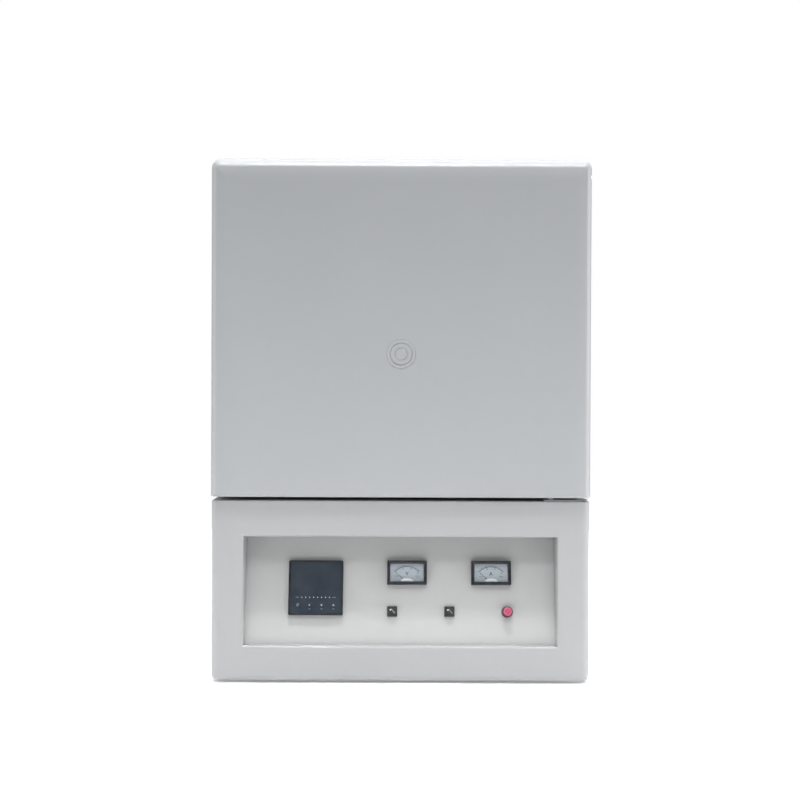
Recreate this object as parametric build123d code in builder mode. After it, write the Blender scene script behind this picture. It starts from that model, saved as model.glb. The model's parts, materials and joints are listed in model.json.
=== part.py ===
from build123d import *
import math
import os

# A high-temperature box furnace on its control cabinet. Millimetres, +Z up, front towards -Y.
# The origin is on the floor, midway between the door's face and the end of the cable gland.

# Cabinet and body
cabinet_width = 660.0
base_height = 316.0
seam_height = 6.5
foot_height = 3.0
foot_radius = 20.0
foot_inset = 52.0
sheet = 1.5
plate = 2.0
edge_radius = 14.0
bottom_edge_radius = 11.0
top_edge_radius = 3.0
flange_width = 18.0
spacer_inset = 55.0
spacer_width = 22.0
body_corner_radius = 16.0
top_skirt = 40.0
panel_seam = 0.4
weld_gap = 0.1

# Door
door_thickness = 58.0
door_overhang = 8.0
door_seam = 5.0
door_side_radius = 10.0
door_top_radius = 16.0
door_hem_radius = 3.5
door_hem_corner = 4.0
pivot_inset = 18.0
pivot_radius = 4.0
pivot_clearance = 0.05
bush_radius = 6.0
bush_length = 20.0
bush_gap = 0.2
bush_rest = 1.2
collar_radius = 7.0
hinge_plate_thickness = 3.0
hinge_plate_reach = 78.0
hinge_plate_width = 28.0
hinge_plate_corner = 6.0
hinge_plate_set_back = 5.0
hinge_screw_inset = 14.0
hinge_screw_pitch = 11.0
hinge_arm_drop = 30.0
hinge_arm_thickness = 5.0
hinge_arm_width = 14.0
hinge_arm_play = 1.5
hinge_arm_lead = 4.0
magnet_width = 12.0
magnet_height = 60.0
magnet_corner = 2.0
magnet_pitch = 360.0
grip_height = 120.0
grip_width = 26.0
grip_depth = 20.0
grip_wall = 1.2

# Chamber and its lining
chamber_width = 200.0
chamber_height = 200.0
chamber_depth = 300.0
chamber_centre = 574.0
lining_thickness = 150.0
roof_space = 89.5
side_air_gap = 20.0
rear_air_gap = 27.5
mouth_margin = 18.0
plug_length = 50.0
plug_clearance = 2.0
plug_taper = 8.0
plug_corner = 8.0
liner_play = 0.3
seal_width = 14.0
seal_squeeze = 0.3
hearth_thickness = 10.0
hearth_sink = 5.0
hearth_margin = 30.0
hearth_edge = 1.5
port_radius = 25.2
port_ring_groove = 19.0
port_cap_radius = 10.5
port_proud = 0.4
port_gap = 0.1
port_groove = 0.7
port_cap_edge = 0.6
sight_radius = 8.0
sight_bore = 5.0

# Heating elements
elements_per_side = 3
element_pitch = 92.0
element_leg_gap = 50.0
element_hot_radius = 3.0
element_shank_radius = 6.0
element_wall_gap = 15.0
element_floor_gap = 24.0
element_rise = 52.0
element_shank_drop = 8.0
element_hole_play = 1.0
clamp_size = 22.0
clamp_height = 16.0
clamp_corner = 3.0

# Thermocouple in the roof
probe_radius = 4.0
probe_reach = 70.0
probe_wall_gap = 25.0
probe_socket_radius = 14.0
probe_head_radius = 18.0
probe_head_edge = 4.0

# Recess and its leaning panel
recess_width = 547.0
recess_height = 191.0
recess_foot = 62.0
recess_depth_top = 62.0
recess_depth_foot = 18.0
recess_corner = 2.0
well_flange = 14.0
well_screw_pitch = 171.0
well_screw_columns = 4

# Controller
controller_size = 96.0
controller_x = -149.0
controller_y = 0.0
controller_front = 9.0
controller_rim = 3.2
controller_corner = 2.5
controller_body_size = 91.0
controller_body_depth = 78.0
controller_body_corner = 2.0
window_thickness = 1.2
window_play = 0.1
key_width = 13.0
key_height = 9.0
key_thickness = 3.3
key_corner = 1.4
key_edge = 0.3
key_travel = 0.5
key_clearance = 0.3
key_play = 0.15
key_count = 4
key_pitch = 21.0
key_row = 30.5

# Meters
meter_width = 70.0
meter_height = 42.0
meter_depth = 13.0
meter_wall = 1.4
meter_rim = 5.4
meter_back = 2.5
meter_body_width = 60.0
meter_body_height = 35.0
meter_body_depth = 32.0
meter_y = 27.0
voltmeter_x = 12.0
ammeter_x = 161.0
dial_thickness = 0.8
lens_thickness = 1.2
pointer_drop = 17.4
pointer_length = 27.0
pointer_lift = 6.0
pointer_thickness = 0.6
pointer_half_width = 0.6
pointer_hub_radius = 1.5
pointer_pin_radius = 1.0
pointer_start = 48.0
lens_recess = 1.2

# Selector switches and push button
control_row = -40.7
selector_left_x = -14.0
selector_right_x = 87.0
selector_size = 18.0
selector_corner = 1.6
selector_front = 4.0
selector_barrel = 7.8
selector_depth = 24.0
knob_radius = 7.2
knob_bar_width = 4.6
knob_bar_height = 6.5
knob_bar_inset = 0.5
knob_bar_edge = 0.8
knob_skirt_rise = 0.8
knob_angle = 135.0
knob_gap = 0.3
knob_stem_radius = 3.0
button_x = 189.0
button_radius = 10.0
button_collar = 9.0
button_collar_edge = 1.2
button_barrel = 7.8
button_depth = 26.0
cap_radius = 8.2
cap_gap = 0.3
cap_rise = 5.5
cap_edge = 1.6
cap_travel = 3.0
cap_clearance = 0.8

# Louvres of the rear covers
louvre_width = 90.0
louvre_rise = 7.0
louvre_pitch_x = 120.0
louvre_pitch_z = 26.0
base_louvre_middle = -100.0
base_louvre_foot = 120.0
base_louvre_columns = 2
base_louvre_rows = 5
body_louvre_drop = 30.0
body_louvre_columns = 4
body_louvre_rows = 2

# Cooling fan, gland and vent at the back
fan_size = 120.0
fan_corner = 8.0
fan_depth = 25.0
fan_bore = 57.0
fan_hub = 20.0
fan_hub_edge = 3.0
fan_inset = 140.0
fan_z = 165.0
fan_screw_pitch = 105.0
fan_strut_width = 5.0
fan_strut_depth = 4.0
rotor_gap = 1.5
blade_count = 7
blade_tip_gap = 3.0
blade_root_chord = 20.0
blade_root_pitch = 50.0
blade_root_thickness = 1.6
blade_tip_chord = 24.0
blade_tip_pitch = 38.0
blade_tip_thickness = 1.2
guard_wire = 1.2
guard_pitch = 12.0
guard_rings = 5
gland_inset = 80.0
gland_z = 60.0
gland_radius = 13.0
gland_bore = 7.0
gland_length = 28.0
gland_nut_depth = 6.0
gland_dome_radius = 12.5
gland_dome_edge = 5.0
gland_thread_depth = 12.0
gland_back_nut_depth = 3.0
earth_spacing = 60.0
earth_nut_radius = 5.0
earth_nut_depth = 5.0
earth_stud_radius = 3.0
earth_stud_length = 18.0
earth_stud_edge = 0.8
vent_radius = 12.0
vent_bore = 6.0
vent_flange = 22.0
vent_edge = 1.0

# Power parts inside the cabinet
transformer_x = -130.0
transformer_y = 110.0
core_width = 190.0
core_height = 170.0
core_depth = 80.0
core_limb = 38.0
winding_gap = 2.0
former_play = 0.3
sink_x = 60.0
sink_width = 110.0
sink_height = 150.0
sink_base = 8.0
fin_count = 12
fin_height = 40.0
fin_thickness = 2.0
thyristor_width = 64.0
thyristor_height = 94.0
thyristor_depth = 34.0
thyristor_corner = 3.0
thyristor_edge = 0.8
terminal_radius = 5.0
terminal_height = 6.0
terminal_inset = 10.0

# Screws
screw_head_edge = 1.2
screw_head_radius = 4.2
screw_head_height = 2.2
screw_radius = 2.0
screw_hole_play = 0.1
screw_length = 9.0

# Places worked out from the sizes above
half_width = cabinet_width / 2
mouth_depth = door_thickness - door_overhang + door_seam + plug_length
cabinet_depth = mouth_depth + chamber_depth + lining_thickness + rear_air_gap + sheet
cabinet_middle = (door_overhang + port_proud - gland_length) / 2
cabinet_front = cabinet_middle - cabinet_depth / 2
cabinet_rear = cabinet_middle + cabinet_depth / 2
rear_wall = cabinet_rear - sheet
base_foot = foot_height
base_top = base_foot + base_height
body_foot = base_top + seam_height
door_front = cabinet_front - door_overhang
door_rear = door_front + door_thickness
body_front = door_rear + door_seam
lining_front = body_front + plate
pivot_x = half_width - pivot_inset
pivot_y = door_front + pivot_inset
fan_x = half_width - fan_inset
gland_x = gland_inset - half_width
hinge_screw_x = pivot_x + hinge_plate_width / 2 - hinge_plate_reach + hinge_screw_inset
hinge_screw_places = [(hinge_screw_x, pivot_y), (hinge_screw_x, pivot_y + hinge_screw_pitch)]
chamber_foot = chamber_centre - chamber_height / 2
chamber_roof = chamber_centre + chamber_height / 2
lining_top = chamber_roof + lining_thickness
body_top = lining_top + roof_space
body_height = body_top - body_foot
plug_tip = body_front + plug_length
chamber_rear = plug_tip + chamber_depth
lining_rear = chamber_rear + lining_thickness
lining_half = half_width - sheet - side_air_gap
lining_foot = body_foot + plate
foot_places = [
    (side * (half_width - foot_inset), cabinet_middle + end * (cabinet_depth / 2 - foot_inset))
    for side in (-1, 1)
    for end in (-1, 1)
]
recess_bottom = base_foot + recess_foot
recess_top = recess_bottom + recess_height
recess_middle = (recess_bottom + recess_top) / 2
panel_lean = math.atan2(recess_depth_top - recess_depth_foot, recess_height)
panel_height = recess_height / math.cos(panel_lean)
panel_middle_y = cabinet_front + (recess_depth_top + recess_depth_foot) / 2
panel_plane = Plane(
    origin=(0, panel_middle_y, recess_middle),
    x_dir=(1, 0, 0),
    z_dir=(0, -math.cos(panel_lean), math.sin(panel_lean)),
)


def front_plane(y, x=0.0, z=0.0):
    """An upright plane at depth y that looks to the front; its second axis points up."""
    return Plane(origin=(x, y, z), x_dir=(1, 0, 0), z_dir=(0, -1, 0))


def panel_spot(x, y, lift=0.0):
    """A plane on the leaning panel, at (x, y) from its middle and lifted off its face."""
    return Plane(
        origin=panel_plane.from_local_coords(Vector(x, y, lift)),
        x_dir=(1, 0, 0),
        z_dir=panel_plane.z_dir,
    )


def level_box(low, high):
    """A plain block between two corners."""
    with BuildPart() as block:
        middle = ((low[0] + high[0]) / 2, (low[1] + high[1]) / 2)
        with BuildSketch(Plane(origin=(middle[0], middle[1], low[2]))):
            Rectangle(high[0] - low[0], high[1] - low[1])
        extrude(amount=high[2] - low[2])
    return block.part


def keep(piece, name):
    """Labels a finished piece and writes it under its own name."""
    piece.part.label = name
    export_step(piece.part, f"parts/{name}.step")


os.makedirs("parts", exist_ok=True)


# Control cabinet: a shell of four welded channels with rounded front edges, open at the back
def base_drum(wall):
    """The outer form of the cabinet, drawn in by wall on every side."""
    with BuildPart() as drum:
        with BuildSketch(Plane.XY.offset(base_foot + wall)):
            with Locations((0, (cabinet_front + rear_wall) / 2)):
                Rectangle(cabinet_width - 2 * wall, rear_wall - cabinet_front - 2 * wall)
        extrude(amount=base_height - 2 * wall)
        front_face = drum.faces().sort_by(Axis.Y)[0]
        fillet(front_face.edges().filter_by(Axis.Z), radius=edge_radius - wall)
        rear_edges = drum.faces().sort_by(Axis.Y)[-1].edges()
        fillet(
            [edge for edge in drum.faces().sort_by(Axis.Z)[0].edges() if edge not in rear_edges],
            radius=bottom_edge_radius - wall,
        )
        fillet(
            [edge for edge in drum.faces().sort_by(Axis.Z)[-1].edges() if edge not in rear_edges],
            radius=top_edge_radius - wall,
        )
    return drum.part


drum_outside = base_drum(0.0)
drum_inside = base_drum(sheet)
with BuildPart() as base_shell:
    add(drum_outside)
    add(drum_inside, mode=Mode.SUBTRACT)
    # Rear opening inside a flange
    with BuildSketch(front_plane(rear_wall, z=base_foot + base_height / 2)):
        Rectangle(cabinet_width - 2 * flange_width, base_height - 2 * flange_width)
    extrude(amount=2 * sheet, mode=Mode.SUBTRACT)
    # Recess opening
    with BuildSketch(front_plane(cabinet_front, z=recess_middle)):
        RectangleRounded(recess_width, recess_height, recess_corner)
    extrude(amount=-2 * sheet, mode=Mode.SUBTRACT)
    # Way for the leads up into the body
    with BuildSketch(Plane.XY.offset(base_top)):
        with Locations((0, cabinet_middle + spacer_inset)):
            RectangleRounded(cabinet_width / 2, cabinet_depth / 2, edge_radius)
    extrude(amount=-2 * sheet, mode=Mode.SUBTRACT)
    # Stems of the feet
    with BuildSketch(Plane.XY.offset(base_foot)):
        with Locations(*foot_places):
            Circle(foot_radius / 4)
    extrude(amount=2 * sheet, mode=Mode.SUBTRACT)
    # Screws of the rear cover and of the hinge plate
    with BuildSketch(front_plane(rear_wall, z=base_foot + base_height / 2)):
        with GridLocations(cabinet_width - flange_width, base_height - flange_width, 2, 2):
            Circle(screw_radius + screw_hole_play)
    extrude(amount=2 * sheet, mode=Mode.SUBTRACT)
    with BuildSketch(Plane.XY.offset(base_top)):
        with Locations(*hinge_screw_places):
            Circle(screw_radius + screw_hole_play)
    extrude(amount=-2 * sheet, mode=Mode.SUBTRACT)
    # Butt-welded joints of the two side channels with the top and the bottom channel
    weld_x = (recess_width - weld_gap) / 2 - recess_corner
    with BuildSketch():
        with Locations((-weld_x, cabinet_middle), (weld_x, cabinet_middle)):
            Rectangle(weld_gap, 2 * cabinet_depth)
    extrude(amount=2 * base_top, mode=Mode.SUBTRACT)
keep(base_shell, "base_shell")

with BuildPart() as rubber_feet:
    with BuildSketch():
        with Locations(*foot_places):
            Circle(foot_radius)
    extrude(amount=foot_height)
    chamfer(rubber_feet.faces().sort_by(Axis.Z)[-1].edges(), length=foot_height / 3)
    with BuildSketch(Plane.XY.offset(foot_height)):
        with Locations(*foot_places):
            Circle(foot_radius / 4)
    extrude(amount=3 * sheet)
keep(rubber_feet, "rubber_feet")


# Recess surround: four folded strips that end on the leaning panel, each a wall with a flange
wall_front = cabinet_front + sheet
well_screw_places = [
    (
        well_screw_pitch * (column - (well_screw_columns - 1) / 2),
        side * (panel_height + well_flange) / 2,
    )
    for column in range(well_screw_columns)
    for side in (-1, 1)
]
with BuildPart() as panel_well:
    with BuildSketch(front_plane(wall_front, z=recess_middle)):
        RectangleRounded(recess_width + 2 * sheet, recess_height + 2 * sheet, recess_corner + sheet)
        RectangleRounded(recess_width, recess_height, recess_corner, mode=Mode.SUBTRACT)
    extrude(amount=-2 * recess_depth_top)
    split(bisect_by=panel_plane, keep=Keep.TOP)
    with BuildSketch(panel_plane):
        RectangleRounded(
            recess_width + 2 * well_flange, panel_height + 2 * well_flange, well_flange / 2
        )
    extrude(amount=sheet)
    with BuildSketch(front_plane(wall_front, z=recess_middle)):
        RectangleRounded(recess_width, recess_height, recess_corner)
    extrude(amount=-2 * recess_depth_top, mode=Mode.SUBTRACT)
    with BuildSketch(panel_plane):
        with Locations(*well_screw_places):
            Circle(screw_radius + screw_hole_play)
    extrude(amount=sheet, mode=Mode.SUBTRACT)
    # Butt joints of the top and bottom strips with the side strips
    for joint in (recess_bottom + recess_corner, recess_top - recess_corner - panel_seam):
        with BuildSketch(Plane.XY.offset(joint)):
            with Locations((0, panel_middle_y)):
                Rectangle(cabinet_width, 2 * recess_depth_top)
        extrude(amount=panel_seam, mode=Mode.SUBTRACT)
keep(panel_well, "panel_well")

with BuildPart() as control_panel:
    with BuildSketch(panel_plane):
        RectangleRounded(
            recess_width + 2 * well_flange, panel_height + 2 * well_flange, well_flange / 2
        )
        with Locations((controller_x, controller_y)):
            Rectangle(
                controller_body_size + 2 * screw_hole_play,
                controller_body_size + 2 * screw_hole_play,
                mode=Mode.SUBTRACT,
            )
        with Locations((voltmeter_x, meter_y), (ammeter_x, meter_y)):
            Rectangle(
                meter_body_width + 2 * screw_hole_play,
                meter_body_height + 2 * screw_hole_play,
                mode=Mode.SUBTRACT,
            )
        with Locations((selector_left_x, control_row), (selector_right_x, control_row)):
            Circle(selector_barrel + screw_hole_play, mode=Mode.SUBTRACT)
        with Locations((button_x, control_row)):
            Circle(button_barrel + screw_hole_play, mode=Mode.SUBTRACT)
        with Locations(*well_screw_places):
            Circle(screw_radius + screw_hole_play, mode=Mode.SUBTRACT)
    extrude(amount=-plate)
keep(control_panel, "control_panel")


# Rear covers with pressed louvres
def louvre_profile(radius, depth, x, z, width):
    """A quarter-round bar along X, standing off the rear face, with its flat side down."""
    with BuildPart() as bar:
        with BuildSketch(Plane(origin=(x - width / 2, cabinet_rear, z), x_dir=(0, 1, 0), z_dir=(1, 0, 0))):
            with BuildLine():
                hood = CenterArc((0, 0), radius, 0, 90)
                Polyline(hood @ 1, (-depth, radius), (-depth, 0), hood @ 0)
            make_face()
        extrude(amount=width)
    return bar.part


def louvre_hoods(places):
    """All hoods of a cover."""
    return [louvre_profile(louvre_rise, sheet / 2, x, z, louvre_width) for x, z in places]


def louvre_hollows(places):
    """The air way under each hood, through the sheet."""
    inner = louvre_rise - sheet
    return [louvre_profile(inner, sheet, x, z, louvre_width - 2 * sheet) for x, z in places]


base_louvres = [
    (
        base_louvre_middle + louvre_pitch_x * (column - (base_louvre_columns - 1) / 2),
        base_foot + base_louvre_foot + louvre_pitch_z * row,
    )
    for column in range(base_louvre_columns)
    for row in range(base_louvre_rows)
]
with BuildPart() as base_rear_cover:
    with BuildSketch(front_plane(rear_wall, z=base_foot + base_height / 2)) as base_back:
        Rectangle(cabinet_width, base_height)
        fillet(base_back.vertices().group_by(Axis.Y)[0], radius=bottom_edge_radius)
        fillet(base_back.vertices().group_by(Axis.Y)[-1], radius=top_edge_radius)
    extrude(amount=-sheet)
    add(louvre_hoods(base_louvres))
    add(louvre_hollows(base_louvres), mode=Mode.SUBTRACT)
    with BuildSketch(front_plane(rear_wall, fan_x, fan_z)):
        Circle(fan_bore)
        with GridLocations(fan_screw_pitch, fan_screw_pitch, 2, 2):
            Circle(screw_radius + screw_hole_play)
    extrude(amount=-sheet, mode=Mode.SUBTRACT)
    with BuildSketch(front_plane(rear_wall, gland_x, gland_z)):
        Circle(gland_radius - plate)
    extrude(amount=-sheet, mode=Mode.SUBTRACT)
    with BuildSketch(front_plane(rear_wall, z=base_foot + base_height / 2)):
        with GridLocations(cabinet_width - flange_width, base_height - flange_width, 2, 2):
            Circle(screw_radius + screw_hole_play)
    extrude(amount=-sheet, mode=Mode.SUBTRACT)
keep(base_rear_cover, "base_rear_cover")

body_louvres = [
    (
        louvre_pitch_x * (column - (body_louvre_columns - 1) / 2),
        body_top - body_louvre_drop - louvre_pitch_z * (row + 1),
    )
    for column in range(body_louvre_columns)
    for row in range(body_louvre_rows)
]
body_middle = (body_foot + body_top) / 2
hem_screw_x = (cabinet_width - flange_width) / 2
hem_screw_zs = (body_foot + flange_width, body_middle, body_top - top_skirt - flange_width)
top_screw_x = cabinet_width / 4
top_screw_z = body_top - sheet - flange_width / 2
body_screw_places = [(side * hem_screw_x, z) for side in (-1, 1) for z in hem_screw_zs] + [
    (side * top_screw_x, top_screw_z) for side in (-1, 1)
]
with BuildPart() as body_rear_cover:
    with BuildSketch(front_plane(rear_wall, z=body_middle)) as body_back:
        Rectangle(cabinet_width, body_height)
        fillet(body_back.vertices().group_by(Axis.Y)[-1], radius=body_corner_radius)
    extrude(amount=-sheet)
    add(louvre_hoods(body_louvres))
    add(louvre_hollows(body_louvres), mode=Mode.SUBTRACT)
    with BuildSketch(front_plane(rear_wall, z=chamber_centre)):
        Circle(vent_radius + screw_hole_play)
    extrude(amount=-sheet, mode=Mode.SUBTRACT)
    with BuildSketch(front_plane(rear_wall)):
        with Locations(*body_screw_places):
            Circle(screw_radius + screw_hole_play)
    extrude(amount=-sheet, mode=Mode.SUBTRACT)
keep(body_rear_cover, "body_rear_cover")


# Spacer between cabinet and body: the dark strip set back in the gap
with BuildPart() as spacer_frame:
    with BuildSketch(Plane.XY.offset(base_top)):
        with Locations((0, (body_front + cabinet_rear) / 2)):
            spacer_length = cabinet_rear - body_front - spacer_width
            Rectangle(cabinet_width - spacer_width, spacer_length)
            Rectangle(
                cabinet_width - 3 * spacer_width, spacer_length - 2 * spacer_width, mode=Mode.SUBTRACT
            )
    extrude(amount=seam_height)
keep(spacer_frame, "spacer_frame")


# Body: floor, side panels, top cover and the frame round the mouth
with BuildPart() as body_floor:
    with BuildSketch(Plane.XY.offset(body_foot)):
        with Locations((0, (lining_front + rear_wall) / 2)):
            Rectangle(cabinet_width - 2 * sheet, rear_wall - lining_front)
        with Locations((0, (lining_rear + rear_wall) / 2)):
            SlotOverall(cabinet_width / 3, (rear_wall - lining_rear) / 2, mode=Mode.SUBTRACT)
    extrude(amount=plate)
keep(body_floor, "body_floor")

for side, name in ((-1, "left_side_panel"), (1, "right_side_panel")):
    with BuildPart() as side_panel:
        with BuildSketch(Plane.XY.offset(body_foot)):
            with BuildLine():
                outer_x = side * half_width
                inner_x = side * (half_width - sheet)
                hem_x = side * (half_width - flange_width)
                Polyline(
                    (outer_x, body_front + plate),
                    (outer_x, rear_wall),
                    (hem_x, rear_wall),
                    (hem_x, rear_wall - sheet),
                    (inner_x, rear_wall - sheet),
                    (inner_x, body_front + plate),
                    close=True,
                )
            make_face()
        extrude(amount=body_height - top_skirt - panel_seam)
        # The hem starts above the floor plate
        with BuildSketch(Plane.XY.offset(body_foot)):
            with Locations((side * (half_width - sheet - flange_width / 2), rear_wall - sheet / 2)):
                Rectangle(flange_width, 2 * sheet)
        extrude(amount=plate, mode=Mode.SUBTRACT)
        with BuildSketch(front_plane(rear_wall)):
            with Locations(*[(side * hem_screw_x, z) for z in hem_screw_zs]):
                Circle(screw_radius + screw_hole_play)
        extrude(amount=2 * sheet, mode=Mode.SUBTRACT)
    keep(side_panel, name)

with BuildPart() as top_cover:
    with BuildSketch(front_plane(body_front + plate, z=body_top - top_skirt / 2)) as hood:
        Rectangle(cabinet_width, top_skirt)
        fillet(hood.vertices().group_by(Axis.Y)[-1], radius=body_corner_radius)
    extrude(amount=-(rear_wall - body_front - plate))
    with BuildSketch(front_plane(body_front + plate, z=body_top - top_skirt / 2 - sheet)) as hollow:
        Rectangle(cabinet_width - 2 * sheet, top_skirt)
        fillet(hollow.vertices().group_by(Axis.Y)[-1], radius=body_corner_radius - sheet)
    extrude(amount=-(rear_wall - body_front - plate), mode=Mode.SUBTRACT)
    # Hem for the screws of the rear cover
    with BuildSketch(front_plane(rear_wall, z=top_screw_z)):
        Rectangle(cabinet_width - 2 * body_corner_radius - 2 * flange_width, flange_width)
        with Locations((-top_screw_x, 0), (top_screw_x, 0)):
            Circle(screw_radius + screw_hole_play, mode=Mode.SUBTRACT)
    extrude(amount=sheet)
keep(top_cover, "top_cover")

mouth_width = chamber_width + 2 * mouth_margin
mouth_height = chamber_height + 2 * mouth_margin
arm_middle = body_top - hinge_arm_drop
with BuildPart() as front_frame:
    with BuildSketch(front_plane(body_front, z=body_middle)) as frame_face:
        Rectangle(cabinet_width, body_height)
        fillet(frame_face.vertices().group_by(Axis.Y)[-1], radius=body_corner_radius)
        with Locations((0, chamber_centre - body_middle)):
            RectangleRounded(mouth_width, mouth_height, plug_corner, mode=Mode.SUBTRACT)
        with Locations((pivot_x, arm_middle - body_middle)):
            Rectangle(
                hinge_arm_width + 2 * screw_hole_play,
                hinge_arm_thickness + 2 * screw_hole_play,
                mode=Mode.SUBTRACT,
            )
    extrude(amount=-plate)
keep(front_frame, "front_frame")


# Lining of the chamber: fibre blocks that step into each other
with BuildPart() as insulation_floor:
    add(level_box((-lining_half, lining_front, lining_foot), (lining_half, lining_rear, chamber_foot)))
    with BuildSketch(Plane.XY.offset(chamber_foot)):
        with Locations((0, (plug_tip + chamber_rear) / 2)):
            RectangleRounded(
                chamber_width - hearth_margin + 2 * liner_play,
                chamber_depth - hearth_margin + 2 * liner_play,
                plug_corner,
            )
    extrude(amount=-hearth_sink, mode=Mode.SUBTRACT)
    chamfer(
        insulation_floor.edges().filter_by(Axis.Z).group_by(Axis.Y)[0], length=side_air_gap / 2
    )
keep(insulation_floor, "insulation_floor")

with BuildPart() as insulation_sides:
    for side in (-1, 1):
        inner_x = side * chamber_width / 2
        outer_x = side * lining_half
        add(level_box(
            (min(inner_x, outer_x), lining_front, chamber_foot),
            (max(inner_x, outer_x), lining_rear, chamber_roof),
        ))
keep(insulation_sides, "insulation_sides")

with BuildPart() as insulation_rear:
    add(level_box(
        (-chamber_width / 2, chamber_rear, chamber_foot), (chamber_width / 2, lining_rear, chamber_roof)
    ))
    with BuildSketch(front_plane(chamber_rear, z=chamber_centre)):
        Circle(vent_radius)
    extrude(amount=-lining_thickness, mode=Mode.SUBTRACT)
keep(insulation_rear, "insulation_rear")

chamber_middle_y = (plug_tip + chamber_rear) / 2
element_x = chamber_width / 2 - element_wall_gap
element_ys = [
    chamber_middle_y + element_pitch * (index - (elements_per_side - 1) / 2)
    for index in range(elements_per_side)
]
probe_y = chamber_rear - probe_wall_gap
with BuildPart() as insulation_roof:
    add(level_box((-lining_half, lining_front, chamber_roof), (lining_half, lining_rear, lining_top)))
    with BuildSketch(Plane.XY.offset(chamber_roof)):
        for side in (-1, 1):
            for middle_y in element_ys:
                with Locations(
                    (side * element_x, middle_y - element_leg_gap / 2),
                    (side * element_x, middle_y + element_leg_gap / 2),
                ):
                    Circle(element_shank_radius + element_hole_play)
        with Locations((0, probe_y)):
            Circle(probe_radius + element_hole_play)
    extrude(amount=lining_thickness, mode=Mode.SUBTRACT)
keep(insulation_roof, "insulation_roof")

with BuildPart() as hearth_plate:
    with BuildSketch(Plane.XY.offset(chamber_foot - hearth_sink)):
        with Locations((0, chamber_middle_y)):
            RectangleRounded(chamber_width - hearth_margin, chamber_depth - hearth_margin, plug_corner)
    extrude(amount=hearth_thickness)
    chamfer(hearth_plate.faces().sort_by(Axis.Z)[-1].edges(), length=hearth_edge)
keep(hearth_plate, "hearth_plate")


# Heating elements: U-shaped rods with thick shanks, hung through the roof
shank_foot = chamber_roof - element_shank_drop
shank_top = lining_top + element_rise
bend_height = chamber_foot + hearth_sink + element_floor_gap + element_leg_gap / 2
with BuildPart() as heating_elements:
    for side in (-1, 1):
        for middle_y in element_ys:
            for leg in (-1, 1):
                leg_y = middle_y + leg * element_leg_gap / 2
                with BuildSketch(Plane.XY.offset(shank_foot)):
                    with Locations((side * element_x, leg_y)):
                        Circle(element_shank_radius)
                extrude(amount=shank_top - shank_foot)
                with BuildSketch(Plane.XY.offset(bend_height)):
                    with Locations((side * element_x, leg_y)):
                        Circle(element_hot_radius)
                extrude(amount=shank_foot - bend_height)
            bend_plane = Plane(
                origin=(side * element_x, middle_y, bend_height), x_dir=(1, 0, 0), z_dir=(0, 0, 1)
            )
            with BuildSketch(bend_plane):
                with Locations((0, element_leg_gap / 2)):
                    Circle(element_hot_radius)
            revolve(
                axis=Axis((side * element_x, middle_y, bend_height), (1, 0, 0)), revolution_arc=-180
            )
keep(heating_elements, "heating_elements")

with BuildPart() as element_clamps:
    for side in (-1, 1):
        for middle_y in element_ys:
            for leg in (-1, 1):
                with BuildSketch(Plane.XY.offset(lining_top)):
                    with Locations((side * element_x, middle_y + leg * element_leg_gap / 2)):
                        RectangleRounded(clamp_size, clamp_size, clamp_corner)
                        Circle(element_shank_radius, mode=Mode.SUBTRACT)
                extrude(amount=clamp_height)
keep(element_clamps, "element_clamps")

with BuildPart() as thermocouple:
    with BuildSketch(Plane.XY.offset(chamber_roof - probe_reach)):
        with Locations((0, probe_y)):
            Circle(probe_radius)
    extrude(amount=probe_reach + lining_thickness)
    with BuildSketch(Plane.XY.offset(lining_top)):
        with Locations((0, probe_y)):
            Circle(probe_socket_radius)
    extrude(amount=clamp_height)
    with BuildSketch(Plane.XY.offset(lining_top + clamp_height)):
        with Locations((0, probe_y)):
            Circle(probe_head_radius)
    extrude(amount=clamp_height)
    fillet(thermocouple.faces().sort_by(Axis.Z)[-1].edges(), radius=probe_head_edge)
    fillet(thermocouple.faces().sort_by(Axis.Z)[0].edges(), radius=0.9 * probe_radius)
keep(thermocouple, "thermocouple")

with BuildPart() as vent_tube:
    with BuildSketch(front_plane(chamber_rear, z=chamber_centre)):
        Circle(vent_radius)
    extrude(amount=-(cabinet_rear - chamber_rear))
    with BuildSketch(front_plane(cabinet_rear, z=chamber_centre)):
        Circle(vent_flange)
    extrude(amount=-plate * 2)
    fillet(vent_tube.faces().sort_by(Axis.Y)[-1].edges(), radius=vent_edge)
    with BuildSketch(front_plane(chamber_rear, z=chamber_centre)):
        Circle(vent_bore)
    extrude(amount=-(cabinet_rear - chamber_rear + 2 * plate), mode=Mode.SUBTRACT)
keep(vent_tube, "vent_tube")


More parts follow.
